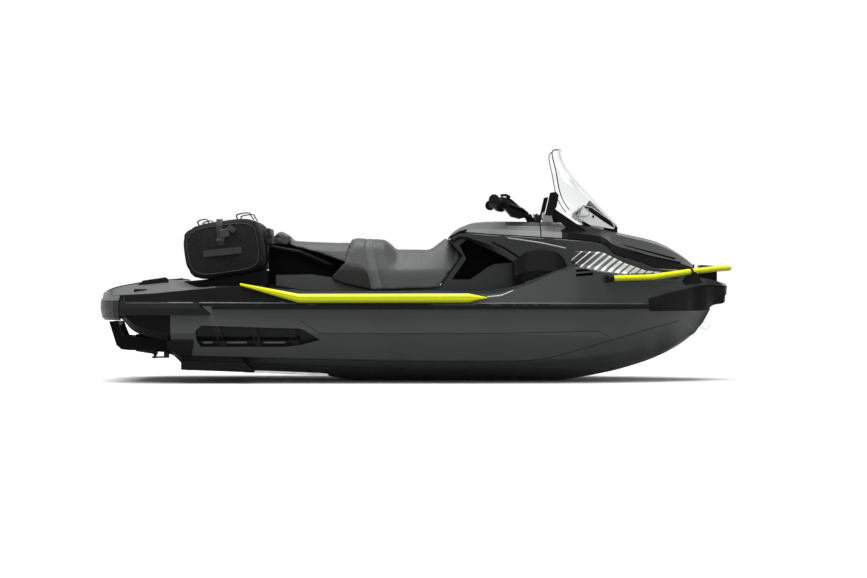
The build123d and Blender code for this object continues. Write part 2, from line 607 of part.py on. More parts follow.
with BuildPart() as steering_nozzle:
    add(turned([(NOZZLE_PIVOT_X + 12, NOZZLE_R + 15), (NOZZLE_PIVOT_X + 12, NOZZLE_R + 22),
                (NOZZLE_PIVOT_X - 20, NOZZLE_R + 13), (NOZZLE_REAR_X, NOZZLE_R), (NOZZLE_REAR_X, NOZZLE_R - 6),
                (NOZZLE_PIVOT_X - 20, NOZZLE_R + 5)]))
    add(rod((NOZZLE_PIVOT_X, 0, 0), (NOZZLE_PIVOT_X, 0, 2 * PUMP_H), PIN_R + SEAT_GAP), mode=Mode.SUBTRACT)
    arm = box(NOZZLE_PIVOT_X - 30, NOZZLE_PIVOT_X - 14, 56, 82, PUMP_H - 8, PUMP_H + 8)
    add(arm)
    steering_nozzle.part.label = "steering_nozzle"

with BuildPart() as reverse_bucket:
    px, ph = BUCKET_PIVOT

    def arc_points(radius, start, end, count):
        return [(px - radius * cos(radians(a)), ph + radius * sin(radians(a))) for a in spread(start, end, count)]

    cheek = [(px + 16, ph - 14), (px - 16, ph - 14)] + arc_points(BUCKET_R, BUCKET_FROM, BUCKET_TO, 7)
    inside = [(px + 60, ph - 60), (px - 60, ph - 60)] + arc_points(BUCKET_R - BUCKET_WALL, BUCKET_FROM - 18,
                                                                  BUCKET_TO + 4, 8) + [(px + 60, ph + 120)]
    add(slab(cheek, BUCKET_HALF))
    add(slab(inside, BUCKET_HALF - BUCKET_WALL), mode=Mode.SUBTRACT)
    add(rod((px, -200, ph), (px, 200, ph), PIN_R + SEAT_GAP), mode=Mode.SUBTRACT)
    reverse_bucket.part.label = "reverse_bucket"

PLATE_REAR_X, PLATE_H = TRANSOM_X + 28, 66

with BuildPart() as ride_plate:
    plate = box(PLATE_REAR_X, PUMP_WELL_FRONT_X - 40, -PUMP_WELL_HALF + 1, PUMP_WELL_HALF - 1, PLATE_H,
                PLATE_H + PLATE_THICK)
    add(plate)
    for y in (-100, -50, 0, 50, 100):
        add(box(PLATE_REAR_X + 10, PUMP_WELL_FRONT_X - 60, y - 4, y + 4, PLATE_H - 9, PLATE_H + 2))
    # side flanges up to the well's walls
    for side in (-1, 1):
        y0, y1 = sorted((side * (PUMP_WELL_HALF - 10), side * PUMP_WELL_HALF))
        add(box(TRANSOM_X + 60, PUMP_WELL_FRONT_X - 40, y0, y1, PLATE_H + 4, PLATE_H + 52))
    ride_plate.part.label = "ride_plate"

with BuildPart() as intake_grate:
    bar_x0, bar_x1 = PUMP_WELL_FRONT_X + 100, INTAKE_FRONT_X
    for y in (-56, -28, 0, 28, 56):
        add(prism([(bar_x0, 43), (bar_x1, 26), (bar_x1, 38), (bar_x0, 59)], -y - 4, -y + 4))
    add(prism([(bar_x1 - 30, 28), (bar_x1 - 4, 27), (bar_x1 - 4, 42), (bar_x1 - 30, 46)], -INTAKE_HALF, INTAKE_HALF))
    add(prism([(bar_x0 + 6, 43), (bar_x0 + 40, 42), (bar_x0 + 40, 57), (bar_x0 + 6, 58)], -INTAKE_HALF, INTAKE_HALF))
    add(hull.part, mode=Mode.SUBTRACT)
    intake_grate.part.label = "intake_grate"

# ---------------------------------------------------------------- boarding ladder
LADDER_PIVOT = (-1368, 200)
LADDER_ARM_Y = 130
LADDER_STEP = (-1660, 325)

with BuildPart() as transom_fittings:
    # tow eyes, flat, with the hole upright
    for y in (-EYE_Y, EYE_Y):
        low, high = EYE_H - EYE_LENGTH / 2, EYE_H + EYE_LENGTH / 2
        eye = rod((EYE_X, y, low), (EYE_X, y, high), EYE_RIM_R)
        eye = eye + box(EYE_X, TRANSOM_X - 4, y - EYE_RIM_R, y + EYE_RIM_R, low, high)
        add(eye + box(TRANSOM_X - 8, TRANSOM_X, y - EYE_RIM_R - 8, y + EYE_RIM_R + 8, EYE_H - 30, EYE_H + 30))
        add(rod((EYE_X, y, low - 4), (EYE_X, y, high + 4), EYE_BORE_R), mode=Mode.SUBTRACT)
    # brackets and pins of the ladder
    for side in (-1, 1):
        y0, y1 = sorted((side * (LADDER_ARM_Y + 16), side * (LADDER_ARM_Y + 30)))
        add(box(LADDER_PIVOT[0] - 22, TRANSOM_X, y0, y1, 165, 235))
        add(rod((LADDER_PIVOT[0], side * (LADDER_ARM_Y - 12), LADDER_PIVOT[1]),
                (LADDER_PIVOT[0], side * (LADDER_ARM_Y + 20), LADDER_PIVOT[1]), PIN_R))
    transom_fittings.part.label = "transom_fittings"

with BuildPart() as boarding_ladder:
    arm_outline = [(LADDER_PIVOT[0] + 18, 222), (LADDER_PIVOT[0] + 18, 172), (-1560, 167), (-1612, 172),
                   (-1640, 196), (LADDER_STEP[0] - 20, LADDER_STEP[1]), (LADDER_STEP[0] + 26, LADDER_STEP[1]),
                   (-1604, 248)]
    arm = prism(arm_outline, LADDER_ARM_Y - 10, LADDER_ARM_Y + 10)
    add(both(arm))
    add(box(LADDER_STEP[0] - 14, LADDER_STEP[0] + 24, -LADDER_ARM_Y - 10, LADDER_ARM_Y + 10, LADDER_STEP[1] - 22,
            LADDER_STEP[1]))
    add(rod((-1614, -LADDER_ARM_Y, 214), (-1614, LADDER_ARM_Y, 214), 10))
    add(rod((LADDER_PIVOT[0], -400, LADDER_PIVOT[1]), (LADDER_PIVOT[0], 400, LADDER_PIVOT[1]), PIN_R + SEAT_GAP),
        mode=Mode.SUBTRACT)
    boarding_ladder.part.label = "boarding_ladder"

# ---------------------------------------------------------------- engine, bin, seat base
with BuildPart() as engine_block:
    add(box(ENGINE_SPAN[0] + BAY_CLEARANCE, ENGINE_SPAN[1] - BAY_CLEARANCE, -ENGINE_WIDTH / 2, ENGINE_WIDTH / 2,
            ENGINE_FOOT_H, ENGINE_FOOT_H + ENGINE_HEIGHT))
    engine_block.part.label = "engine_block"

with BuildPart() as storage_bin:
    add(box(BIN_REAR_X - SKIN, BIN_FRONT_X + SKIN, -BIN_HALF_WIDTH - SKIN, BIN_HALF_WIDTH + SKIN,
            BIN_FLOOR_H - SKIN, BIN_RIM_H))
    add(box(BIN_REAR_X, BIN_FRONT_X, -BIN_HALF_WIDTH, BIN_HALF_WIDTH, BIN_FLOOR_H, 900), mode=Mode.SUBTRACT)
    storage_bin.part.label = "storage_bin"

BASE_OUTLINE = [(-812, 470), (-812, 744), (-700, 752), (-688, 747), (-529, 706), (-410, 664), (-300, 674),
                (40, 650), (100, 540), (110, 470)]
BASE_HALF = 118
PEDESTAL_OUTLINE = [(-767, 470), (-767, 576), (-575, 580), (-460, 562), (-394, 538), (-248, 495), (-240, 470)]
PEDESTAL_HALF = 205
with BuildPart() as seat_base:
    add(slab(BASE_OUTLINE, BASE_HALF))
    add(slab(PEDESTAL_OUTLINE, PEDESTAL_HALF))
    add([deck.part, engine_bay], mode=Mode.SUBTRACT)
    seat_base.part.label = "seat_base"

# ---------------------------------------------------------------- seats
SEAT_TOP = [(-860, 808), (-742, 808), (-704, 788), (-672, 762), (-620, 757), (-372, 750), (-355, 770), (-335, 775),
            (-286, 773), (-187, 767), (-154, 748), (-112, 714), (55, 713), (121, 753), (148, 773), (175, 775)]
SEAT_HALF_TOP = [(-860, 120), (-650, 150), (-367, 160), (-187, 150), (-110, 130), (55, 125), (150, 90), (240, 80)]
SEAT_HALF_FOOT = [(-860, 170), (-650, 205), (-367, 225), (-187, 220), (0, 205), (150, 185), (240, 170)]


def seat_half(x):
    """Half section of the saddle, with soft shoulders."""
    top, top_y, foot_y = fair(x, SEAT_TOP), fair(x, SEAT_HALF_TOP), fair(x, SEAT_HALF_FOOT)
    return [(0, 480), (foot_y, 480), (foot_y - 8, 600), (top_y + 22, top - 46), (top_y, top - 14),
            (top_y - 36, top), (0, top + 3)]


SADDLE_XS = [-860, -800, -760, -735, -715, -695, -675, -655, -600, -540, -480, -420, -385, -370, -362, -354, -346,
             -335, -300, -250, -210, -190, -175, -162, -150, -138, -126, -112, -95, -60, -20, 20, 55, 80, 105,
             128, 148, 170, 210, 250]
SADDLE = loft(sections=[station(x, seat_half(x)) for x in SADDLE_XS])
FRONT_SEAT = [(-367, 830), (-367, 749), (-394, 646), (-464, 565), (-450, 545), (-394, 525), (-246, 495), (110, 506),
              (238, 680), (160, 768), (157, 830)]
REAR_SEAT = [(-690, 830), (-690, 738), (-529, 695), (-394, 646), (-368, 745), (-368, 830)]

with BuildPart() as seat_front:
    add(SADDLE & slab(FRONT_SEAT, 400))
    add(slab([(x, h + 1) for x, h in BASE_OUTLINE], BASE_HALF + 1), mode=Mode.SUBTRACT)
    add(slab(PEDESTAL_OUTLINE, PEDESTAL_HALF + 1), mode=Mode.SUBTRACT)
    add([deck.part, engine_bay], mode=Mode.SUBTRACT)
    seat_front.part.label = "seat_front"

with BuildPart() as seat_rear:
    add(SADDLE & slab(REAR_SEAT, 400))
    add(slab([(x, h + 1) for x, h in BASE_OUTLINE], BASE_HALF + 1), mode=Mode.SUBTRACT)
    add(seat_front.part, mode=Mode.SUBTRACT)
    # bolster behind the passenger
    bolster = SADDLE & slab([(-820, 830), (-820, 741 + SEAT_GAP), (-700, 741 + SEAT_GAP), (-692, 830)], 400)
    add(bolster - slab([(x, h + 1) for x, h in BASE_OUTLINE], BASE_HALF + 1))
    seat_rear.part.label = "seat_rear"

with BuildPart() as grab_rail:
    rail = tube([(-700, -90, 718), (-795, -90, 726), (-802, -185, 730), (-640, -208, 700), (-475, -184, 630),
                 (-440, -100, 604)], 12)
    add(both(rail - seat_base.part))
    grab_rail.part.label = "grab_rail"

# ---------------------------------------------------------------- cargo
RACK_TOP = [(-1262, 540), (-1100, 556), (-960, 575), (-836, 598)]
BAG_CENTRE = (-1035, 718)
BAG_LENGTH = 760
with BuildPart() as cargo_rack:
    outline = RACK_TOP + [(-806, 604), (-806, 520), (-1000, 516), (-1262, 494)]
    add(slab(outline, 300, 10))
    add([deck.part, platform_mat.part], mode=Mode.SUBTRACT)
    add(seat_base.part, mode=Mode.SUBTRACT)
    cargo_rack.part.label = "cargo_rack"

with BuildPart() as cargo_bag:
    bag_plane = Plane(origin=(BAG_CENTRE[0], -BAG_LENGTH / 2, BAG_CENTRE[1]), x_dir=(cos(radians(8)), 0, sin(radians(8))),
                      z_dir=(0, 1, 0))
    with BuildSketch(bag_plane):
        RectangleRounded(420, 308, 92)
    extrude(amount=BAG_LENGTH)
    fillet(cargo_bag.edges(), 40)
    add(cargo_rack.part, mode=Mode.SUBTRACT)
    cargo_bag.part.label = "cargo_bag"

# ---------------------------------------------------------------- upper body
# (distance along the craft, height or half breadth): crown, parting line and widest breadth
CROWN = [(140, 760), (165, 781), (204, 820), (242, 841), (313, 863), (423, 869), (600, 867), (795, 862),
         (900, 850), (1000, 832), (1094, 808), (1276, 767), (1342, 742), (1446, 682), (1500, 640), (1520, 622)]
PARTING = [(140, 745), (165, 772), (250, 806), (374, 797), (795, 770), (984, 749), (1048, 695), (1200, 646),
           (1305, 613), (1475, 604), (1520, 600)]
WING_Y = [(140, 215), (165, 230), (300, 330), (525, 385), (811, 400), (972, 385), (1194, 330), (1330, 270),
          (1475, 150), (1520, 70)]
WING_FOOT = [(140, 760), (243, 770), (330, 735), (523, 640), (600, 560), (1520, 500)]
PARTING_GAP = 6
BODY_HALF = 200
LID_REAR_X, LID_FRONT_X = 166, 398
LID_HALF = 162
LID_KNUCKLES = (-110, 110)
LID_HINGE = (404, 858)
DASH_FRONT_X = 655
HOOD_REAR_X = 800
HOOD_FRONT_X = 1500
HOOD_HINGE = (1510, 628)
HINGE_PIN_R = 5
GLOVEBOX = (240, 390, -120, 120, 690, 900)


def crown_half(x, inset=0):
    """Half section of the upper body, parting line to crown, or of its core when inset."""
    foot, top, wide = fair(x, PARTING), fair(x, CROWN) - inset, fair(x, WING_Y) - inset
    rise = top - foot
    return [(0, foot), (wide - 6, foot), (wide * 0.97, foot + rise * 0.35), (wide * 0.62, foot + rise * 0.86),
            (wide * 0.25, top), (0, top + 2)]


def crown_form(x0, x1, count, inset=0):
    return loft(sections=[station(x, crown_half(x, inset)) for x in spread(x0, x1, count)], mode=Mode.PRIVATE)


DASH_FORM = crown_form(LID_REAR_X, DASH_FRONT_X, 20)
LID_UNDERSIDE = [(LID_REAR_X - 9, 720), (200, 795), (262, 824), (LID_FRONT_X + 9, 838), (LID_FRONT_X + 9, 950),
                 (LID_REAR_X - 9, 950)]

with BuildPart() as glovebox_lid:
    add(DASH_FORM & slab(LID_UNDERSIDE, LID_HALF))
    add(box(LID_FRONT_X, 700, -400, 400, 700, 950), mode=Mode.SUBTRACT)
    # two hinge knuckles under the front edge
    for y in LID_KNUCKLES:
        knuckle = rod((LID_HINGE[0], y - 18, LID_HINGE[1]), (LID_HINGE[0], y + 18, LID_HINGE[1]), 7)
        knuckle = knuckle + box(LID_FRONT_X - 24, LID_HINGE[0], y - 18, y + 18, LID_HINGE[1] - 7, LID_HINGE[1] + 2)
        add(knuckle)
        add(rod((LID_HINGE[0], y - 19, LID_HINGE[1]), (LID_HINGE[0], y + 19, LID_HINGE[1]), 4 + SEAT_GAP),
            mode=Mode.SUBTRACT)
    glovebox_lid.part.label = "glovebox_lid"

STEM_TOP = (602, 906)
STEM_DIR = (0.447, 0, -0.894)  # down the steering column
STEM_R = 20
STEM_LENGTH = 69


def on_stem(reach):
    """A point on the column, by its distance below the top."""
    return (STEM_TOP[0] + reach * STEM_DIR[0], 0, STEM_TOP[1] + reach * STEM_DIR[2])


with BuildPart() as dash:
    add(DASH_FORM)
    add(rod(on_stem(20), on_stem(STEM_LENGTH + SEAT_GAP), STEM_R + 2), mode=Mode.SUBTRACT)
    lid_room = [(x, h - PARTING_GAP) for x, h in LID_UNDERSIDE[:4]] + [(LID_FRONT_X + 15, 950), (LID_REAR_X - 9, 950)]
    add(slab(lid_room, LID_HALF + PARTING_GAP), mode=Mode.SUBTRACT)
    add(box(*GLOVEBOX), mode=Mode.SUBTRACT)
    for y in LID_KNUCKLES:
        add(rod((LID_HINGE[0], y - 20, LID_HINGE[1]), (LID_HINGE[0], y + 20, LID_HINGE[1]), 12), mode=Mode.SUBTRACT)
        for ear in (y - 26, y + 20):
            add(rod((LID_HINGE[0], ear, LID_HINGE[1]), (LID_HINGE[0], ear + 6, LID_HINGE[1]), 5.5))
            add(box(LID_HINGE[0], LID_FRONT_X + 22, ear, ear + 6, LID_HINGE[1] - 5.5, LID_HINGE[1] + 3))
        add(rod((LID_HINGE[0], y - 26, LID_HINGE[1]), (LID_HINGE[0], y + 26, LID_HINGE[1]), 4))
    dash.part.label = "dash"

KNEE_POCKET = [(184, 552), (262, 664), (226, 738), (262, 766), (300, 764), (532, 660), (520, 644), (417, 636),
               (379, 619), (284, 552)]
POCKET_DEPTH = 42

with BuildPart() as centre_body:
    outline = [(112, 480), (112, 507), (239, 680), (162, 767), (215, 775), (BIN_REAR_X - SKIN, 820),
               (BIN_REAR_X - SKIN, 700), (BIN_REAR_X - SKIN, 480)]
    add(slab(outline, BODY_HALF))
    add([deck.part, dash.part, seat_front.part, seat_base.part, engine_bay, box(*GLOVEBOX)], mode=Mode.SUBTRACT)
    add(slab(lid_room, LID_HALF + PARTING_GAP), mode=Mode.SUBTRACT)
    # knee pockets, under the wings
    add(both(prism(KNEE_POCKET, BODY_HALF - POCKET_DEPTH, BODY_HALF + 9)), mode=Mode.SUBTRACT)
    centre_body.part.label = "centre_body"

with BuildPart() as cowl:
    def cowl_half(x):
        wide, top, foot = fair(x, WING_Y), fair(x, PARTING) - PARTING_GAP, fair(x, WING_FOOT)
        foot = min(foot, top - 8)
        return [(0, foot), (wide - 14, foot), (wide - 2, foot + 0.35 * (top - foot)), (wide, top - 4),
                (wide - 4, top), (0, top)]

    loft(sections=[station(x, cowl_half(x)) for x in spread(175, 1512, 30)])
    add(box(0, BIN_REAR_X, -BODY_HALF, BODY_HALF, 300, 900), mode=Mode.SUBTRACT)
    add(box(BIN_REAR_X - SKIN - 1, BIN_FRONT_X + SKIN, -BIN_HALF_WIDTH - SKIN, BIN_HALF_WIDTH + SKIN, 300, 900),
        mode=Mode.SUBTRACT)
    add([deck.part, centre_body.part, dash.part], mode=Mode.SUBTRACT)
    # hinge post at the nose, with the hood's pin
    post = box(HOOD_HINGE[0] - 7, HOOD_HINGE[0] + 7, -16, 16, 540, HOOD_HINGE[1] + 6) - deck.part
    add(post.solids().sort_by(Axis.Z)[-1])
    add(rod((HOOD_HINGE[0], -34, HOOD_HINGE[1]), (HOOD_HINGE[0], 34, HOOD_HINGE[1]), HINGE_PIN_R))
    cowl.part.label = "cowl"

with BuildPart() as side_pods:
    def pod_outline(x):
        top = fair(x, [(515, 650), (590, 700), (660, 708), (750, 690), (805, 618)])
        foot = fair(x, [(515, 505), (560, 490), (820, 490)])
        out = fair(x, [(515, 430), (600, 470), (720, 475), (805, 440)])
        return [(360, foot), (out, foot), (out + 12, foot + 0.5 * (top - foot)), (out - 26, top), (360, top)]

    pod = side_loft(spread(515, 805, 9), pod_outline) - deck.part - cowl.part
    add(both(pod))
    side_pods.part.label = "side_pods"

HOOD_FORM = crown_form(HOOD_REAR_X, HOOD_FRONT_X, 22)
HOOD_GROOVES = [(1090, 742, 1400, 668), (1150, 700, 1430, 645)]  # rear and front ends of each groove's top edge
GROOVE_DEPTH = 14
with BuildPart() as hood:
    add(HOOD_FORM)
    for y in (-26, 26):
        add(box(HOOD_FRONT_X - 20, HOOD_HINGE[0] + 6, y - 8, y + 8, HOOD_HINGE[1] - 10, HOOD_HINGE[1] + 7))
    add(rod((HOOD_HINGE[0], -40, HOOD_HINGE[1]), (HOOD_HINGE[0], 40, HOOD_HINGE[1]), HINGE_PIN_R + SEAT_GAP),
        mode=Mode.SUBTRACT)
    # two long grooves down each flank
    hood_core = crown_form(1040, 1470, 12, inset=GROOVE_DEPTH)
    for x0, h0, x1, h1 in HOOD_GROOVES:
        groove = prism([(x0, h0), (x1, h1), (x1 - 12, h1 - 9), (x0 + 20, h0 - 10)], 40, 500)
        add(both(groove - hood_core), mode=Mode.SUBTRACT)
    hood.part.label = "hood"

with BuildPart() as console:
    add(crown_form(DASH_FRONT_X + PARTING_GAP, HOOD_REAR_X, 8))
    # gauge housing
    add(slab([(680, 840), (744, 840), (726, 925), (686, 925)], 78, 8))
    console.part.label = "console"

# ---------------------------------------------------------------- helm
GRIP_X, GRIP_H = 409, 971
GRIP_IN_Y, GRIP_OUT_Y = 305, 432
BAR_R = 11
GRIP_R = 17
LEVER_R = 7

with BuildPart() as handlebar:
    bar = tube([(STEM_TOP[0] - 4, 0, STEM_TOP[1] + 8), (568, -118, 932), (470, -250, 961), (GRIP_X, -GRIP_OUT_Y, 975)],
               BAR_R)
    add(rod(on_stem(0), on_stem(STEM_LENGTH), STEM_R))
    add(both(bar))
    handlebar.part.label = "handlebar"

with BuildPart() as grips:
    inner_end, outer_end = (GRIP_X + 42, -GRIP_IN_Y, GRIP_H - 5), (GRIP_X, -GRIP_OUT_Y - 6, 975)
    grip = rod(inner_end, outer_end, GRIP_R) + rod(outer_end, (GRIP_X - 4, -GRIP_OUT_Y - 18, 976), GRIP_R + 11)
    # switch housing inboard of the grip, and the lever that it carries
    grip = grip + rod((inner_end[0] + 14, inner_end[1] + 42, inner_end[2] - 4), inner_end, GRIP_R + 13)
    grip = grip + tube([(480, -278, 978), (492, -318, 996), (470, -380, 1002), (446, -440, 998)], LEVER_R)
    grip = grip - bar
    add(both(grip.solids().sort_by(SortBy.VOLUME)[-1]))
    grips.part.label = "grips"

with BuildPart() as helm_pad:
    outline = [(462, 954), (510, 899), (556, 887), (612, 898), (604, 918), (556, 952), (514, 990), (482, 1006),
               (458, 984)]
    add(slab(outline, 72, 12))
    add(handlebar.part, mode=Mode.SUBTRACT)
    helm_pad.part.label = "helm_pad"

# ---------------------------------------------------------------- windshield and mirrors
# (height, rear edge, front edge, half breadth)
SCREEN = [(838, 980, 1098, 70), (863, 905, 1086, 130), (928, 826, 1022, 178), (1006, 778, 950, 200),
          (1100, 756, 864, 204), (1209, 733, 792, 190), (1262, 745, 784, 120)]
SCREEN_THICK = 5

with BuildPart() as windshield:
    sections = []
    for h, rear, front, half in SCREEN:
        with BuildSketch(Plane.XY.offset(h)) as rim:
            with BuildLine():
                ThreePointArc((rear, -half), (front, 0), (rear, half))
                Line((rear, half), (rear - 2, half - SCREEN_THICK))
                ThreePointArc((rear - 2, half - SCREEN_THICK), (front - SCREEN_THICK, 0), (rear - 2, SCREEN_THICK - half))
                Line((rear - 2, SCREEN_THICK - half), (rear, -half))
            make_face()
        sections.append(rim.sketch)
    loft(sections=sections)
    windshield.part.label = "windshield"

BRACKET_Y = 152
with BuildPart() as screen_mount:
    # wedge behind the foot of the screen
    add(slab([(905, 800), (905, 930), (940, 984), (1010, 915), (1092, 838), (1092, 800)], 58))
    # a bracket plate outside the screen, each side
    bracket = prism([(853, 897), (852, 918), (895, 956), (944, 946), (1050, 872), (1070, 838), (1064, 826),
                     (935, 848)], BRACKET_Y, BRACKET_Y + 7)
    bracket = bracket + prism([(940, 780), (1010, 780), (1010, 868), (940, 888)], 40, BRACKET_Y)
    add(both(bracket))
    add([hood.part, windshield.part], mode=Mode.SUBTRACT)
    screen_mount.part.label = "screen_mount"

with BuildPart() as mirrors:
    outline = [(680, 897), (716, 892), (742, 942), (752, 1000), (738, 1018), (706, 1014)]
    pod = prism(outline, 300, 410, 10)
    arm = prism([(690, 930), (735, 930), (905, 815), (890, 780), (840, 790)], 300, 325)
    add(both(pod + arm))
    add([hood.part, console.part], mode=Mode.SUBTRACT)
    mirrors.part.label = "mirrors"

# ---------------------------------------------------------------- bow
HOOP_R = 16
with BuildPart() as bow_hoop:
    hoop = tube([(1036, -493, 556), (1250, -402, 563), (1455, -262, 592), (1620, -130, 610), (1700, -60, 616),
                 (1706, 0, 616)], HOOP_R)
    hoop = hoop - deck.part
    add(both(hoop))
    bow_hoop.part.label = "bow_hoop"

with BuildPart() as hoop_mounts:
    foot = rod((1004, -505, 554), (1036, -493, 556), HOOP_R + 2) - deck.part - bow_hoop.part
    add(both(foot.solids().sort_by(SortBy.VOLUME)[-1]))
    # arms from the bow deck out to the hoop
    arm = prism([(1412, 520), (1540, 530), (1500, 592), (1462, 596)], 225, 255) - deck.part - bow_bumper.part
    arm = (arm - bow_hoop.part).solids().sort_by(SortBy.VOLUME)[-1]
    add(both(arm))
    # plate across the hoop's nose, on a post from the bow deck
    plate = slab([(1545, 600), (1700, 606), (1700, 622), (1545, 632)], 70, 5) - bow_hoop.part
    plate = plate + slab([(1500, 530), (1640, 530), (1640, 604), (1545, 604)], 30)
    add((plate - deck.part - bow_bumper.part).solids().sort_by(SortBy.VOLUME)[-1])
    hoop_mounts.part.label = "hoop_mounts"

BOW_EYE = (1580, 300)
with BuildPart() as bow_eye:
    eye_x, eye_h = BOW_EYE
    eye = rod((eye_x, -EYE_LENGTH / 2, eye_h), (eye_x, EYE_LENGTH / 2, eye_h), 26)
    eye = eye + box(eye_x - 60, eye_x, -EYE_LENGTH / 2, EYE_LENGTH / 2, eye_h - 22, eye_h + 26)
    eye = eye - rod((eye_x, -20, eye_h), (eye_x, 20, eye_h), EYE_BORE_R) - HULL_FORM
    add(eye)
    bow_eye.part.label = "bow_eye"

PARTS = [hull, deck, stern_cap, stern_skirts, stern_rails, transom_fittings, platform_mat, stern_cleats, sponsons,
         hull_vents, rub_rail, bow_bumper, side_trim, footwell_mats, pump_housing, impeller, steering_nozzle,
         reverse_bucket, ride_plate, intake_grate, boarding_ladder, engine_block, storage_bin, seat_base, seat_front,
         seat_rear, grab_rail, cargo_rack, cargo_bag, glovebox_lid, dash, centre_body, cowl, side_pods, hood, console,
         handlebar, grips, helm_pad, windshield, screen_mount, mirrors, bow_hoop, hoop_mounts, bow_eye]

os.makedirs("parts", exist_ok=True)
for piece in PARTS:
    export_step(piece.part.moved(Location((0, 0, -DRAFT))), f"parts/{piece.part.label}.step")
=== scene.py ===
"""Looks for a three-place touring watercraft: materials, soft goods, small fittings, light and camera.

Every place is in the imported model's frame, in metres: +X to the bow, +Y to port, +Z up, and z = 0 in the
plane of the water. Lists of places are in millimetres, and at() turns them into metres.
"""

import math

import bmesh
import bpy
from mathutils import Matrix, Vector
from mathutils.bvhtree import BVHTree


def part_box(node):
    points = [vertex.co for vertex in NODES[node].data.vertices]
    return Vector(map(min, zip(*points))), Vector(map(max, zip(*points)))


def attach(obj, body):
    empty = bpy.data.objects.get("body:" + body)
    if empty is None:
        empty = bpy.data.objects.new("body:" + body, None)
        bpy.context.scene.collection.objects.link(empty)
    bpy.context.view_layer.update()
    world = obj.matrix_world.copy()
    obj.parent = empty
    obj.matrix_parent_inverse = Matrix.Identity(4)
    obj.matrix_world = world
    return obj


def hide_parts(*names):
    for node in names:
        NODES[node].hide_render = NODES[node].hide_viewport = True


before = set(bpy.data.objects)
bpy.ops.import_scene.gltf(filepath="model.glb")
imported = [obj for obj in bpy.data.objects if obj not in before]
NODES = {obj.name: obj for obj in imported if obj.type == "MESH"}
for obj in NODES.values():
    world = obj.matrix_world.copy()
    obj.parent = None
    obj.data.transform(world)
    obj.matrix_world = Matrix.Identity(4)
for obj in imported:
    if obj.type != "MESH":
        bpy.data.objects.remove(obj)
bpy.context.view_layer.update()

# the stripes on the flanks lean forward: along each of them, x less the slope times z stays the same
STRIPE_SLOPE = 1.167
STRIPE_START = 0.4012
STRIPE_PITCH = 0.044


# ---------------------------------------------------------------- colours
def srgb(code):
    """A display colour such as "2f3332" as the linear values that a shader takes."""
    parts = [int(code[i : i + 2], 16) / 255 for i in (0, 2, 4)]
    linear = [c / 12.92 if c <= 0.04045 else ((c + 0.055) / 1.055) ** 2.4 for c in parts]
    return (*linear, 1.0)


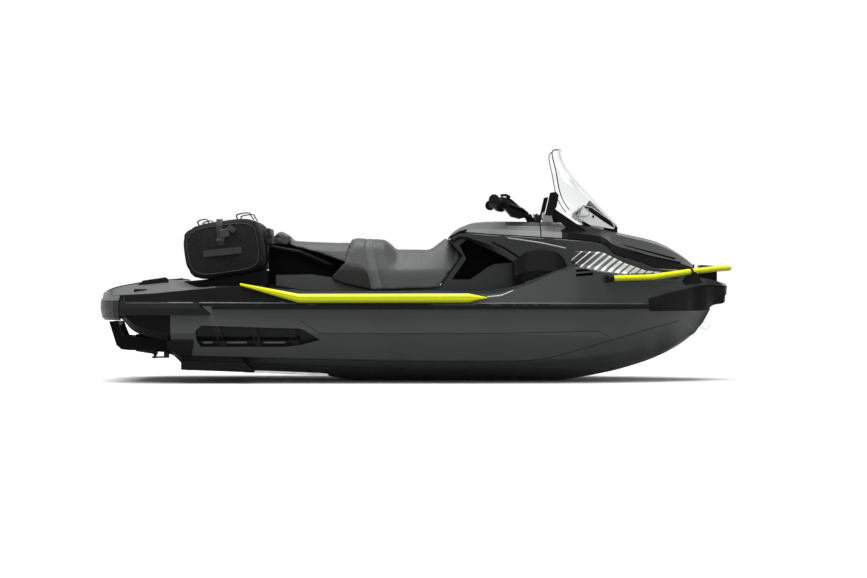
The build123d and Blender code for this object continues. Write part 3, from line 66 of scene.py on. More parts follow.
# ---------------------------------------------------------------- material building blocks
class Surface:
    """A node material on one Principled shader, with short calls for what is joined to it."""

    def __init__(self, name, **sockets):
        self.material = bpy.data.materials.new(name)
        self.material.use_nodes = True
        self.tree = self.material.node_tree
        self.shader = self.tree.nodes["Principled BSDF"]
        for socket, value in sockets.items():
            self.shader.inputs[socket.replace("_", " ")].default_value = value
        self.place = self.node("ShaderNodeTexCoord").outputs["Object"]

    def node(self, kind, **settings):
        node = self.tree.nodes.new(kind)
        for key, value in settings.items():
            setattr(node, key, value)
        return node

    def join(self, source, target):
        self.tree.links.new(source, target)

    def scaled(self, scale):
        """Object coordinates, stretched by a scale for each axis."""
        mapping = self.node("ShaderNodeMapping")
        mapping.inputs["Scale"].default_value = scale
        self.join(self.place, mapping.inputs["Vector"])
        return mapping.outputs["Vector"]

    def noise(self, size, detail=3, stretch=(1, 1, 1)):
        """A cloud pattern, its clouds about size metres across."""
        texture = self.node("ShaderNodeTexNoise")
        texture.inputs["Scale"].default_value = 1 / size
        texture.inputs["Detail"].default_value = detail
        self.join(self.scaled(stretch), texture.inputs["Vector"])
        return texture.outputs["Fac"]

    def cells(self, size):
        """A pattern of cells, about size metres across."""
        texture = self.node("ShaderNodeTexVoronoi")
        texture.inputs["Scale"].default_value = 1 / size
        self.join(self.place, texture.inputs["Vector"])
        return texture.outputs["Distance"]

    def spread(self, source, low, high, start=0.3, end=0.7):
        """source between start and end, as a number from low to high."""
        remap = self.node("ShaderNodeMapRange")
        for socket, value in zip(("From Min", "From Max", "To Min", "To Max"), (start, end, low, high)):
            remap.inputs[socket].default_value = value
        self.join(source, remap.inputs["Value"])
        return remap.outputs["Result"]

    def tint(self, source, dark, light, start=0.3, end=0.7):
        """Base colour from dark to light as source goes from start to end."""
        ramp = self.node("ShaderNodeValToRGB")
        ramp.color_ramp.elements[0].position = start
        ramp.color_ramp.elements[1].position = end
        ramp.color_ramp.elements[0].color = srgb(dark)
        ramp.color_ramp.elements[1].color = srgb(light)
        self.join(source, ramp.inputs["Fac"])
        self.join(ramp.outputs["Color"], self.shader.inputs["Base Color"])

    def mixed(self, factor, a, b):
        """Colour a where factor is 0 and b where it is 1. Each is a colour code or another node's output."""
        mix = self.node("ShaderNodeMix", data_type="RGBA")
        self.join(factor, mix.inputs[0])
        for socket, colour in zip((mix.inputs[6], mix.inputs[7]), (a, b)):
            if isinstance(colour, str):
                socket.default_value = srgb(colour)
            else:
                self.join(colour, socket)
        return mix.outputs[2]

    def maths(self, operation, a, b):
        """One sum on two numbers, each a plain number or another node's output."""
        sum_node = self.node("ShaderNodeMath", operation=operation)
        for socket, value in zip(sum_node.inputs, (a, b)):
            if isinstance(value, float):
                socket.default_value = value
            else:
                self.join(value, socket)
        return sum_node.outputs[0]

    def axis(self, letter):
        """Object coordinate X, Y or Z, in metres."""
        apart = self.node("ShaderNodeSeparateXYZ")
        self.join(self.place, apart.inputs["Vector"])
        return apart.outputs[letter]

    def slanted(self, slope):
        """x less slope times z, in metres: lines that lean forward in side view."""
        return self.maths("SUBTRACT", self.axis("X"), self.maths("MULTIPLY", self.axis("Z"), slope))

    def rough(self, source, low, high):
        """Roughness from low to high as source goes from 0.3 to 0.7."""
        self.join(self.spread(source, low, high), self.shader.inputs["Roughness"])

    def bump(self, source, depth):
        """Raises the surface by up to depth metres where source is 1. Calls add to each other."""
        relief = self.node("ShaderNodeBump")
        relief.inputs["Strength"].default_value = 1.0
        relief.inputs["Distance"].default_value = depth
        self.join(source, relief.inputs["Height"])
        target = self.shader.inputs["Normal"]
        if target.is_linked:
            self.join(target.links[0].from_socket, relief.inputs["Normal"])
        self.join(relief.outputs["Normal"], target)


def moulded(name, dark, light, roughness=0.4, specular=0.12):
    """Moulded plastic: a fine leathery grain, and cloudy wear in its gloss."""
    s = Surface(name, Specular_IOR_Level=specular)
    s.tint(s.noise(0.35, 4), dark, light)
    s.rough(s.noise(0.02, 5), roughness - 0.06, roughness + 0.08)
    s.bump(s.cells(0.0012), 0.00006)
    return s.material


def gelcoat(name, dark, light, roughness=0.28, coat=0.2, specular=0.2):
    """Sprayed gelcoat: metal flake too small to count, orange peel and a soft clear coat."""
    s = Surface(name, Specular_IOR_Level=specular, Coat_Weight=coat, Coat_Roughness=0.12)
    s.tint(s.noise(0.5, 3), dark, light)
    s.rough(s.noise(0.004, 4), roughness - 0.04, roughness + 0.06)
    s.bump(s.noise(0.006, 2), 0.00005)
    return s.material


def metal(name, dark, light, roughness):
    """Bare metal, with the fine marks of casting or polishing."""
    s = Surface(name, Metallic=1.0)
    s.tint(s.noise(0.03, 5), dark, light)
    s.rough(s.noise(0.01, 5), roughness - 0.08, roughness + 0.1)
    s.bump(s.noise(0.0008, 4), 0.00004)
    return s.material


def rubber(name, dark, light):
    """Matt rubber, a little dusty."""
    s = Surface(name, Specular_IOR_Level=0.1)
    s.tint(s.noise(0.05, 5), dark, light)
    s.rough(s.noise(0.006, 4), 0.55, 0.8)
    s.bump(s.noise(0.0015, 3), 0.00008)
    return s.material


def grooved_foam(name, dark, light, pitch=0.028):
    """Closed-cell traction foam with straight cut grooves fore and aft."""
    s = Surface(name, Specular_IOR_Level=0.1)
    s.tint(s.noise(0.08, 5), dark, light)
    s.rough(s.noise(0.006, 4), 0.65, 0.85)
    s.bump(s.noise(0.0015, 3), 0.0001)
    wave = s.maths("FRACT", s.maths("MULTIPLY", s.axis("Y"), 1 / pitch), 0.0)
    away = s.maths("ABSOLUTE", s.maths("SUBTRACT", wave, 0.5), 0.0)
    s.bump(s.spread(away, 1.0, 0.0, 0.42, 0.46), 0.0015)
    return s.material


def clear_sheet(name):
    """Clear polycarbonate, with the faintest grey in its thickness."""
    s = Surface(name, Transmission_Weight=1.0, IOR=1.45, Specular_IOR_Level=0.5)
    facing = s.node("ShaderNodeLayerWeight").outputs["Facing"]
    s.tint(facing, "fbfcfc", "4a5054", 0.72, 0.98)
    s.rough(s.noise(0.05, 3), 0.01, 0.03)
    return s.material


def cloth(name, dark, light, thread, depth, roughness):
    """Woven cloth: threads that cross, and dust in its folds."""
    s = Surface(name, Specular_IOR_Level=0.2)
    s.tint(s.noise(0.09, 5), dark, light)
    s.rough(s.noise(0.01, 4), roughness - 0.08, roughness + 0.08)
    for stretch in ((1, 0.06, 1), (0.06, 1, 0.06)):
        s.bump(s.noise(thread, 1, stretch), depth)
    return s.material


def vinyl(name, dark, light, roughness=0.5, specular=0.25):
    """Coated marine vinyl over foam: a pebbled grain with a soft sheen."""
    s = Surface(name, Specular_IOR_Level=specular)
    s.tint(s.noise(0.22, 4), dark, light)
    s.rough(s.noise(0.015, 4), roughness - 0.07, roughness + 0.09)
    s.bump(s.cells(0.0022), 0.00016)
    s.bump(s.noise(0.05, 3), 0.0008)
    return s.material


def two_tone(name, inner, outer, letter, start, end, roughness=0.35, specular=0.15):
    """Moulded plastic that turns from inner to outer between two distances from the middle along an axis."""
    s = Surface(name, Specular_IOR_Level=specular)
    share = s.spread(s.maths("ABSOLUTE", s.axis(letter), 0.0), 0.0, 1.0, start, end)
    s.join(s.mixed(share, inner, outer), s.shader.inputs["Base Color"])
    s.rough(s.noise(0.02, 5), roughness - 0.06, roughness + 0.08)
    s.bump(s.cells(0.0012), 0.00004)
    return s.material


def stripes(name):
    """Plain slanted stripes, thin at their aft end and broad at their front end, on a dark ground."""
    s = Surface(name, Specular_IOR_Level=0.3, Roughness=0.3, Coat_Weight=0.2)
    lean = s.slanted(STRIPE_SLOPE)

    def wave(pitch):
        return s.maths("FRACT", s.maths("MULTIPLY", s.maths("SUBTRACT", lean, STRIPE_START), 1 / pitch), 0.0)

    broad = s.spread(s.slanted(0.0), 0.17, 0.76, 0.86, 1.16)
    pale = s.maths("LESS_THAN", wave(STRIPE_PITCH), broad)
    fine = s.mixed(s.spread(wave(STRIPE_PITCH / 8), 0.0, 1.0, 0.4, 0.6), "3c3d3d", "707272")
    behind = s.mixed(s.spread(s.slanted(0.9), 0.0, 1.0, 0.53, 0.60), "0d0e0e", fine)
    s.join(s.mixed(pale, behind, "e6e7e6"), s.shader.inputs["Base Color"])
    return s.material


MATERIALS = {
    "hull_shell": gelcoat("hull_shell", "4c4f4f", "545757", roughness=0.4, coat=0.1),
    "deck_shell": gelcoat("deck_shell", "2a2d2d", "303333", roughness=0.3),
    "cowl_shell": gelcoat("cowl_shell", "1a1c1c", "1f2222", roughness=0.3),
    "gloss_black": gelcoat("gloss_black", "09090a", "0d0d0e", roughness=0.2, coat=0.08, specular=0.08),
    # the hood's top faces: black aft, painted lighter toward the bow as a painted highlight of light on the
    # gloss
    "hood_top_highlight": two_tone("hood_top_highlight", "0b0b0c", "383a3b", "X", 1.0, 1.32, 0.28),
    "dash_top": two_tone("dash_top", "0c0c0d", "5d5e5e", "Y", 0.292, 0.297, 0.4),
    "satin_black": moulded("satin_black", "0b0b0c", "111112", specular=0.06),
    "matt_black": moulded("matt_black", "050505", "090909", roughness=0.6, specular=0.03),
    "grain_black": moulded("grain_black", "0e0e0f", "141415", roughness=0.5, specular=0.08),
    "grain_dark": moulded("grain_dark", "1c1d1d", "232424", roughness=0.5, specular=0.1),
    "grain_mid": moulded("grain_mid", "2c2d2e", "333435", roughness=0.42, specular=0.15),
    "grain_grey": moulded("grain_grey", "3a3b3c", "424344", roughness=0.42, specular=0.2),
    "grain_light": moulded("grain_light", "484949", "525353", roughness=0.45, specular=0.2),
    # grey painted paler for faces that look up: a painted highlight of the light from above
    "grain_lit_top": moulded("grain_lit_top", "555656", "616262", roughness=0.45, specular=0.2),
    "dash_silver": moulded("dash_silver", "8c8d8d", "989999", roughness=0.35, specular=0.4),
    "lime": gelcoat("lime", "dae208", "e2ea10", roughness=0.3, coat=0.12),
    "foam": grooved_foam("foam", "1b1c1c", "262728"),
    "cast": metal("cast", "2a2c2d", "35383a", 0.5),
    "stainless": metal("stainless", "b9bcbf", "d6d9db", 0.2),
    "rubber": rubber("rubber", "0d0d0e", "141416"),
    "clear": clear_sheet("clear"),
    "engine": metal("engine", "35383a", "45484a", 0.55),
    "seat_cover": vinyl("seat_cover", "484949", "505151", 0.4),
    "seat_band": vinyl("seat_band", "565757", "5e5f5f", 0.45),
    "seat_dark": vinyl("seat_dark", "1f1f1e", "262625", 0.5, 0.15),
    "bag_cloth": cloth("bag_cloth", "0e0e0f", "141415", 0.0011, 0.00025, 0.8),
    "webbing": cloth("webbing", "2b2b2c", "373738", 0.0016, 0.0004, 0.6),
    "buckle": moulded("buckle", "0b0b0c", "121213", 0.22, specular=0.5),
    # a painted highlight along the bond
    "painted_highlight_grey": gelcoat("painted_highlight_grey", "474949", "505252", 0.3),
    # the pale grey of the screen bracket's plate, and the painted highlight on the lips of the hull vents
    "grey_plate_and_lip_highlight": moulded("grey_plate_and_lip_highlight", "6f7171", "7b7d7d", 0.35, specular=0.3),
    "gauge": moulded("gauge", "777a7c", "85888a", 0.15, specular=0.5),
    # painted highlights on moulded edges
    "painted_glint": gelcoat("painted_glint", "a9abab", "b6b8b8", 0.25),
    "pale_plate": moulded("pale_plate", "e2e3e3", "ecedec", 0.35, specular=0.4),
    "screen_edge": moulded("screen_edge", "0f1112", "17191a", 0.3, specular=0.2),
    "mirror": metal("mirror", "d4d7d9", "dfe2e4", 0.12),
    "stripes": stripes("stripes"),
}

FINISH = {
    "hull": "hull_shell",
    "deck": "deck_shell",
    # the stern cap's top faces are painted pale as painted light; its sides get a darker grey below
    "stern_cap": "grain_lit_top",
    "stern_skirts": "satin_black",
    "stern_rails": "grain_dark",
    "transom_fittings": "stainless",
    "platform_mat": "foam",
    "stern_cleats": "grain_black",
    "sponsons": "grain_black",
    "hull_vents": "grain_dark",
    "rub_rail": "rubber",
    "bow_bumper": "grain_black",
    "side_trim": "lime",
    "footwell_mats": "foam",
    "pump_housing": "cast",
    "ride_plate": "cast",
    "intake_grate": "stainless",
    "engine_block": "engine",
    "storage_bin": "grain_black",
    "seat_base": "grain_grey",
    "grab_rail": "satin_black",
    "cargo_rack": "satin_black",
    "dash": "satin_black",
    "centre_body": "cowl_shell",
    "cowl": "cowl_shell",
    "side_pods": "satin_black",
    "bow_hoop": "lime",
    "hoop_mounts": "grain_black",
    "bow_eye": "stainless",
    "hood": "gloss_black",
    "console": "gloss_black",
    "windshield": "clear",
    "screen_mount": "satin_black",
    "mirrors": "satin_black",
    "handlebar": "satin_black",
    "grips": "rubber",
    "helm_pad": "grain_black",
    "glovebox_lid": "grain_light",
    "steering_nozzle": "cast",
    "reverse_bucket": "grain_black",
    "impeller": "stainless",
    "boarding_ladder": "satin_black",
    "seat_front": "grain_grey",
    "seat_rear": "grain_grey",
    "cargo_bag": "satin_black",
}
for node, finish in FINISH.items():
    slots = NODES[node].data.materials
    slots.clear()
    slots.append(MATERIALS[finish])


# ---------------------------------------------------------------- building blocks for meshes
WATERLINE_H = 0.260  # of the water plane above the keel
SIDES = (("starboard", -1), ("port", 1))


def at(x, h, y=0.0):
    """A point from its place forward of amidships and its height above the keel, in millimetres."""
    return Vector((x / 1000, y / 1000, h / 1000 - WATERLINE_H))


def made(name, vertices, faces, material, body, smooth=True):
    """A new piece that goes with a body."""
    mesh = bpy.data.meshes.new(name)
    mesh.from_pydata([tuple(v) for v in vertices], [], faces)
    mesh.materials.append(MATERIALS[material])
    finish_normals(mesh, smooth)
    piece = bpy.data.objects.new(name, mesh)
    bpy.context.scene.collection.objects.link(piece)
    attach(piece, body)
    return piece


def finish_normals(mesh, smooth):
    """Turns all faces outward, and sets them smooth or flat."""
    work = bmesh.new()
    work.from_mesh(mesh)
    bmesh.ops.recalc_face_normals(work, faces=work.faces)
    work.to_mesh(mesh)
    work.free()
    mesh.polygons.foreach_set("use_smooth", [smooth] * len(mesh.polygons))
    mesh.update()


def skin(name, rings, material, body, smooth=True, capped=True):
    """A skin through closed rings of points, one after another, with flat ends."""
    count = len(rings[0])
    vertices = [point for ring in rings for point in ring]
    faces = []
    for i in range(len(rings) - 1):
        for j in range(count):
            k = (j + 1) % count
            faces.append((i * count + j, i * count + k, (i + 1) * count + k, (i + 1) * count + j))
    if capped:
        faces.append(tuple(reversed(range(count))))
        faces.append(tuple(range((len(rings) - 1) * count, len(rings) * count)))
    return made(name, vertices, faces, material, body, smooth)


def curve(points, steps=8):
    """A smooth path through the points (Catmull-Rom)."""
    points = [Vector(p) for p in points]
    path = []
    for i in range(len(points) - 1):
        a = points[max(i - 1, 0)]
        b, c = points[i], points[i + 1]
        d = points[min(i + 2, len(points) - 1)]
        for k in range(steps):
            t = k / steps
            path.append(0.5 * (2 * b + (c - a) * t + (2 * a - 5 * b + 4 * c - d) * t * t
                               + (3 * b - a - 3 * c + d) * t**3))
    return path + [points[-1]]


def along(path, i):
    """The path's direction at point i."""
    return (path[min(i + 1, len(path) - 1)] - path[max(i - 1, 0)]).normalized()


def band(name, path, across, width, thickness, material, body):
    """A flat strip along a path. across is the way that its width lies."""
    rings = []
    for i, point in enumerate(path):
        side = (across - along(path, i) * across.dot(along(path, i))).normalized() * width / 2
        up = along(path, i).cross(side).normalized() * thickness / 2
        rings.append([point + side + up, point - side + up, point - side - up, point + side - up])
    return skin(name, rings, material, body, smooth=False)


def cable(name, path, radius, material, body, sides=14, closed=False):
    """A round bar or bead along a path."""
    rings = []
    side = along(path, 0).orthogonal().normalized()
    for i, point in enumerate(path):
        ahead = along(path, i)
        if closed:
            ahead = (path[(i + 1) % len(path)] - path[i - 1]).normalized()
        side = (side - ahead * side.dot(ahead)).normalized()
        up = ahead.cross(side)
        rings.append([point + (side * math.cos(a) + up * math.sin(a)) * radius
                      for a in (2 * math.pi * k / sides for k in range(sides))])
    if closed:
        rings.append(rings[0])
    return skin(name, rings, material, body, capped=not closed)


def block(name, middle, size, material, body, turn, soft):
    """A box with softened edges. turn is an angle in degrees about Y, nose up."""
    work = bmesh.new()
    bmesh.ops.create_cube(work, size=1)
    for v in work.verts:
        v.co = Vector(c * length for c, length in zip(v.co, size))
    widest = 0.45 * min(size)
    bmesh.ops.bevel(work, geom=work.edges[:], offset=min(soft, widest), segments=3, affect="EDGES")
    work.transform(Matrix.Translation(middle) @ Matrix.Rotation(-math.radians(turn), 4, "Y"))
    mesh = bpy.data.meshes.new(name)
    work.to_mesh(mesh)
    work.free()
    mesh.materials.append(MATERIALS[material])
    piece = bpy.data.objects.new(name, mesh)
    bpy.context.scene.collection.objects.link(piece)
    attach(piece, body)
    return piece


# ---------------------------------------------------------------- seats
SEAT_VOXEL = 0.005
SEAT_SWELL = 0.0016
SEAT_SMOOTHING = 4  # rounds over the whole seat
FOLD_SMOOTHING = 40  # rounds near a fold that is eased away
# seams in side view, as places forward of amidships and heights, in millimetres
BAND_REAR_EDGE = [(-277, 775), (-281, 690), (-238, 492)]
BAND_FRONT_EDGE = [(-242, 772), (-228, 650), (-188, 490)]
LOW_PANEL_TOP = [(-416, 644), (-360, 632), (-292, 612), (-262, 560), (-250, 490)]
REAR_SIDE_TOP = [(-820, 772), (-760, 782), (-700, 742), (-640, 712), (-540, 688), (-400, 642)]


def side_distance(point, line):
    """How far a point is from a line in side view, and which side of it the point is on."""
    best, sign = 9.0, 1
    place = Vector((point.x, point.z))
    for a, b in zip(line, line[1:]):
        along_line = b - a
        t = max(0, min(1, (place - a).dot(along_line) / along_line.length_squared))
        away = place - (a + along_line * t)
        if away.length < best:
            best = away.length
            sign = 1 if along_line.x * away.y - along_line.y * away.x > 0 else -1
    return best, sign


def side_line(knots):
    """A smooth line in side view through places in millimetres."""
    return [Vector((p.x, p.z)) for p in curve([at(*k) for k in knots], 6)]


def relax(work, vertices, rounds):
    """Smooths some vertices of a mesh."""
    for _ in range(rounds):
        bmesh.ops.smooth_vert(work, verts=vertices, factor=0.5, use_axis_x=True, use_axis_y=True,
                              use_axis_z=True)


def seat_from(node, name, seams, eased=()):
    """The cushion over its CAD solid: rounded, slightly crowned, with sewn seams pressed in.

    seams holds a line in side view, a half-width and a depth for each seam. eased holds lines in side view
    near which the solid's fold is smoothed away, with a reach for each.
    """
    source = NODES[node]
    cushion = bpy.data.objects.new(name, source.data.copy())
    cushion.matrix_world = source.matrix_world.copy()
    bpy.context.scene.collection.objects.link(cushion)
    remesh = cushion.modifiers.new("voxels", "REMESH")
    remesh.mode = "VOXEL"
    remesh.voxel_size = SEAT_VOXEL
    depsgraph = bpy.context.evaluated_depsgraph_get()
    shaped = bpy.data.meshes.new_from_object(cushion.evaluated_get(depsgraph))
    cushion.modifiers.clear()
    cushion.data = shaped
    work = bmesh.new()
    work.from_mesh(shaped)
    relax(work, work.verts, SEAT_SMOOTHING)
    for line, reach in eased:
        near = [v for v in work.verts if side_distance(v.co, line)[0] < reach]
        relax(work, near, FOLD_SMOOTHING)
    work.normal_update()
    moves = []
    for v in work.verts:
        move = SEAT_SWELL
        for line, reach, depth in seams:
            away, _ = side_distance(v.co, line)
            move -= depth * math.exp(-((away / reach) ** 2))
        moves.append(v.normal * move)
    for v, move in zip(work.verts, moves):
        v.co += move
    work.to_mesh(shaped)
    work.free()
    shaped.polygons.foreach_set("use_smooth", [True] * len(shaped.polygons))
    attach(cushion, "craft")
    return cushion


def paint(piece, choose, *materials):
    """Gives each face the material whose number choose(middle, normal) returns."""
    piece.data.materials.clear()
    for material in materials:
        piece.data.materials.append(MATERIALS[material])
    for face in piece.data.polygons:
        face.material_index = choose(face.center, face.normal)


band_rear, band_front = side_line(BAND_REAR_EDGE), side_line(BAND_FRONT_EDGE)
low_panel, rear_side = side_line(LOW_PANEL_TOP), side_line(REAR_SIDE_TOP)

front_seat = seat_from("seat_front", "seat_front_cushion",
                       [(band_rear, 0.004, 0.004), (band_front, 0.004, 0.003), (low_panel, 0.004, 0.003)],
                       [(side_line([(-150, 604), (0, 604), (140, 604)]), 0.035),
                        (side_line([(-345, 730), (-280, 730), (-215, 726)]), 0.030)])
rear_seat = seat_from("seat_rear", "seat_rear_cushion", [(rear_side, 0.005, 0.004)])


def front_zone(middle, normal):
    """0 for the seat's cover, 1 for the pale band across it, 2 for the dark lower panel."""
    behind_band = side_distance(middle, band_rear)[1] < 0
    if not behind_band and side_distance(middle, band_front)[1] < 0:
        return 1
    low = side_distance(middle, low_panel)[1] < 0
    return 2 if low and behind_band and middle.x < at(-250, 0).x else 0


def rear_zone(middle, normal):
    """0 for the seat's cover, 2 for its dark flanks and the sides of the raised rear edge."""
    raised = middle.x < at(-690, 0).x and normal.z < 0.8
    return 2 if raised or side_distance(middle, rear_side)[1] < 0 else 0


paint(front_seat, front_zone, "seat_cover", "seat_band", "seat_dark")
paint(rear_seat, rear_zone, "seat_cover", "seat_band", "seat_dark")
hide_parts("seat_front")
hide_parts("seat_rear")


# ---------------------------------------------------------------- cargo bag
BAG_MIDDLE = at(-1035, 718)
BAG_TILT = math.radians(8)
BAG_LENGTH_HALF, BAG_HEIGHT_HALF = 0.204, 0.150
BAG_STRAIGHT = 0.350  # half of its length, less the rounded ends
BAG_ROUND = 0.030
BAG_SQUARENESS = 0.46  # of its section: 1 is an ellipse, and nearer to 0 is squarer
BAG_SIDES = 140
BAG_TOP_SLOPE = 0.14  # rise of its top toward the bow


def bag_stations():
    """For each ring: its place along the bag, how far it is inset, and its share of full size."""
    middle = [(BAG_STRAIGHT * t / 14, 0, 1) for t in range(14)]
    turn = [(BAG_STRAIGHT + BAG_ROUND * math.sin(a), BAG_ROUND * (1 - math.cos(a)), 1)
            for a in (math.pi / 2 * k / 7 for k in range(8))]
    end = [(BAG_STRAIGHT + BAG_ROUND + 0.008 * (1 - k * k), BAG_ROUND, k)
           for k in (0.94, 0.85, 0.7, 0.55, 0.4, 0.25, 0.1, 0.02)]
    half = middle + turn + end
    return [(-y, inset, share) for y, inset, share in reversed(half[1:])] + half


def bag_point(angle, y, inset=0.0, share=1.0):
    """A point of the bag's skin at an angle round it."""
    c, s = math.cos(angle), math.sin(angle)
    x = math.copysign(abs(c) ** BAG_SQUARENESS, c) * (BAG_LENGTH_HALF - inset) * share
    z = math.copysign(abs(s) ** BAG_SQUARENESS, s) * (BAG_HEIGHT_HALF - inset) * share
    # fuller at mid height on its aft side, softer on top, and settled on its base
    x -= 0.012 * max(0.0, -c) * (1 - (z / BAG_HEIGHT_HALF) ** 2) * share
    z -= 0.010 * max(0.0, s) ** 2 * abs(x / BAG_LENGTH_HALF) ** 3
    z += 0.005 * max(0.0, s) * math.cos(math.pi * y / 0.4) * share
    return BAG_MIDDLE + Vector((x * math.cos(BAG_TILT) - z * math.sin(BAG_TILT), y,
                                x * math.sin(BAG_TILT) + z * math.cos(BAG_TILT)))


def crease(angle, y):
    """Soft creases of the cloth, deeper near the ends."""
    near_end = min(1.0, abs(y) / BAG_STRAIGHT) ** 2
    wave = math.sin(7 * angle + 11 * y) * math.sin(27 * y + 2.0 * math.sin(3 * angle))
    fine = math.sin(19 * angle - 33 * y + 3 * math.sin(8 * y))
    return (0.0012 + 0.0016 * near_end) * wave + 0.0007 * fine + 0.001


def bag_ring(y, inset, share):
    """One closed ring of the bag's skin, with its creases."""
    angles = [2 * math.pi * k / BAG_SIDES for k in range(BAG_SIDES)]
    return [bag_point(a, y, inset + crease(a, y), share) for a in angles]


bag = skin("cargo_bag_shell", [bag_ring(*station) for station in bag_stations()], "bag_cloth", "craft")
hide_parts("cargo_bag")

for end, side in SIDES:
    rim = [bag_point(2 * math.pi * k / 90, side * (BAG_STRAIGHT + 0.029), 0.022) for k in range(90)]
    cable(f"bag_piping_{end}", rim, 0.0032, "webbing", "craft", 8, closed=True)
    girth = [bag_point(2 * math.pi * k / 90, side * 0.235, -0.0012) for k in range(91)]
    band(f"bag_strap_{end}", girth, Vector((0, 1, 0)), 0.038, 0.0024, "webbing", "craft")


def on_end(x, h, out=0.0):
    """A place on the bag's starboard end panel."""
    return at(x, h, -1000 * (BAG_STRAIGHT + BAG_ROUND + 0.007 + out))


# end handle: a loop of webbing sewn down at both ends
handle = curve([on_end(-1142, 686), on_end(-1120, 690, 0.003), on_end(-1060, 696, 0.013),
                on_end(-1000, 703, 0.012), on_end(-950, 708, 0.002), on_end(-940, 709, 0.001)], 6)
band("bag_end_handle", handle, Vector((0, 0, 1)), 0.036, 0.003, "webbing", "craft")
# closing strap over the end, with its buckle
strap = curve([at(-1062, 873, -300), at(-1060, 872, -350), at(-1058, 850, -384), on_end(-1056, 812, 0.004),
               on_end(-1052, 768, 0.005), on_end(-1049, 734, 0.003)], 6)
band("bag_end_strap", strap, Vector((1, 0, 0)), 0.034, 0.0026, "webbing", "craft")
block("bag_buckle_body", on_end(-1030, 798, 0.010), (0.052, 0.014, 0.046), "buckle", "craft", 12, 0.004)
block("bag_buckle_latch", on_end(-992, 822, 0.009), (0.046, 0.012, 0.030), "buckle", "craft", -38, 0.004)
block("bag_buckle_slide", on_end(-1052, 762, 0.009), (0.044, 0.008, 0.016), "buckle", "craft", 6, 0.002)
# carrying loops that stand up from the top
for n, (x0, x1, rise) in enumerate(((-1196, -1136, 22), (-985, -905, 26))):
    for side in (-1, 1):
        y = side * 150
        foot = 1000 * (bag_point(math.pi / 2, y / 1000).z + WATERLINE_H)
        h0 = foot + BAG_TOP_SLOPE * ((x0 + x1) / 2 - 1000 * BAG_MIDDLE.x)
        loop = curve([at(x0 + 12, h0 - 12, y), at(x0, h0 + rise * 0.5, y), at(x0 + 10, h0 + rise, y),
                      at(x1 - 14, h0 + rise + 7, y), at(x1, h0 + rise * 0.55, y), at(x1 + 14, h0 - 4, y)], 6)
        band(f"bag_loop_{n}_{'port' if side > 0 else 'starboard'}", loop, Vector((0, 1, 0)), 0.036, 0.005,
             "webbing", "craft")


# ---------------------------------------------------------------- thin trim laid on the moulded surfaces
def surface_of(*nodes):
    """A search tree over the CAD surfaces of the nodes."""
    points, faces = [], []
    for node in nodes:
        part = NODES[node]
        start = len(points)
        points += [part.matrix_world @ v.co for v in part.data.vertices]
        faces += [[start + i for i in face.vertices] for face in part.data.polygons]
    return BVHTree.FromPolygons(points, faces)


def spaced(line, count):
    """count points evenly along a line of places in millimetres."""
    places = [Vector(p) for p in line]
    lengths = [0.0]
    for a, b in zip(places, places[1:]):
        lengths.append(lengths[-1] + (b - a).length)
    made_points = []
    for i in range(count):
        target = lengths[-1] * i / (count - 1)
        k = max(j for j in range(len(lengths) - 1) if lengths[j] <= target + 1e-6)
        t = (target - lengths[k]) / (lengths[k + 1] - lengths[k])
        made_points.append(places[k].lerp(places[k + 1], min(1, t)))
    return made_points


RAY_START = 1500  # outside the craft, in millimetres off its centreline
SUNK = 0.3  # how far a laid sheet goes into the surface, in millimetres


def laid(name, top, bottom, material, body, tree, columns=40, rows=3, proud=0.8, side=-1):
    """A thin sheet between two lines in side view, laid on the surface that a ray from that side meets."""
    upper, lower = spaced(top, columns), spaced(bottom, columns)
    outer, inner = [], []
    for high, low in zip(upper, lower):
        for r in range(rows):
            place = high.lerp(low, r / (rows - 1))
            start = at(place.x, place.y, side * RAY_START)
            hit = tree.ray_cast(start, Vector((0, -side, 0)))[0]
            if hit is None:
                raise ValueError(f"{name}: no surface at {place.x:.0f}, {place.y:.0f}")
            outer.append(hit + Vector((0, side * proud / 1000, 0)))
            inner.append(hit - Vector((0, side * SUNK / 1000, 0)))
    count = len(outer)
    faces = []
    for i in range(columns - 1):
        for r in range(rows - 1):
            a = i * rows + r
            faces.append((a, a + 1, a + rows + 1, a + rows))
            faces.append(tuple(count + k for k in (a + rows, a + rows + 1, a + 1, a)))
    rim = [i * rows for i in range(columns)] + [(columns - 1) * rows + r for r in range(1, rows)]
    rim += [i * rows + rows - 1 for i in range(columns - 2, -1, -1)] + [r for r in range(rows - 2, 0, -1)]
    for a, b in zip(rim, rim[1:] + rim[:1]):
        faces.append((a, b, count + b, count + a))
    piece = made(name, outer + inner, faces, material, body, smooth=False)
    for face in piece.data.polygons:
        face.use_smooth = abs(face.normal.y) > 0.5


def both_sides(name, top, bottom, material, tree, **settings):
    """The same laid sheet on the starboard and the port side."""
    for word, side in SIDES:
        laid(f"{name}_{word}", top, bottom, material, "craft", tree, side=side, **settings)


def hull_crease_shade(name, knots, width):
    """A thin dark line of painted shade along a crease of the hull's sides, through places in side view."""
    line = [(p.x, p.y) for p in curve([(x, h, 0) for x, h in knots], 6)]
    foot = [(x, h - width) for x, h in line]
    both_sides(name, line, foot, "grain_dark", HULL, columns=90, rows=2, proud=0.5)


HULL = surface_of("hull")
VENTS = surface_of("hull_vents")
FLANKS = surface_of("cowl", "deck", "side_pods")
SHELL = surface_of("deck", "hull", "rub_rail", "stern_rails")
BODY_SIDE = surface_of("centre_body", "cowl", "dash", "glovebox_lid")

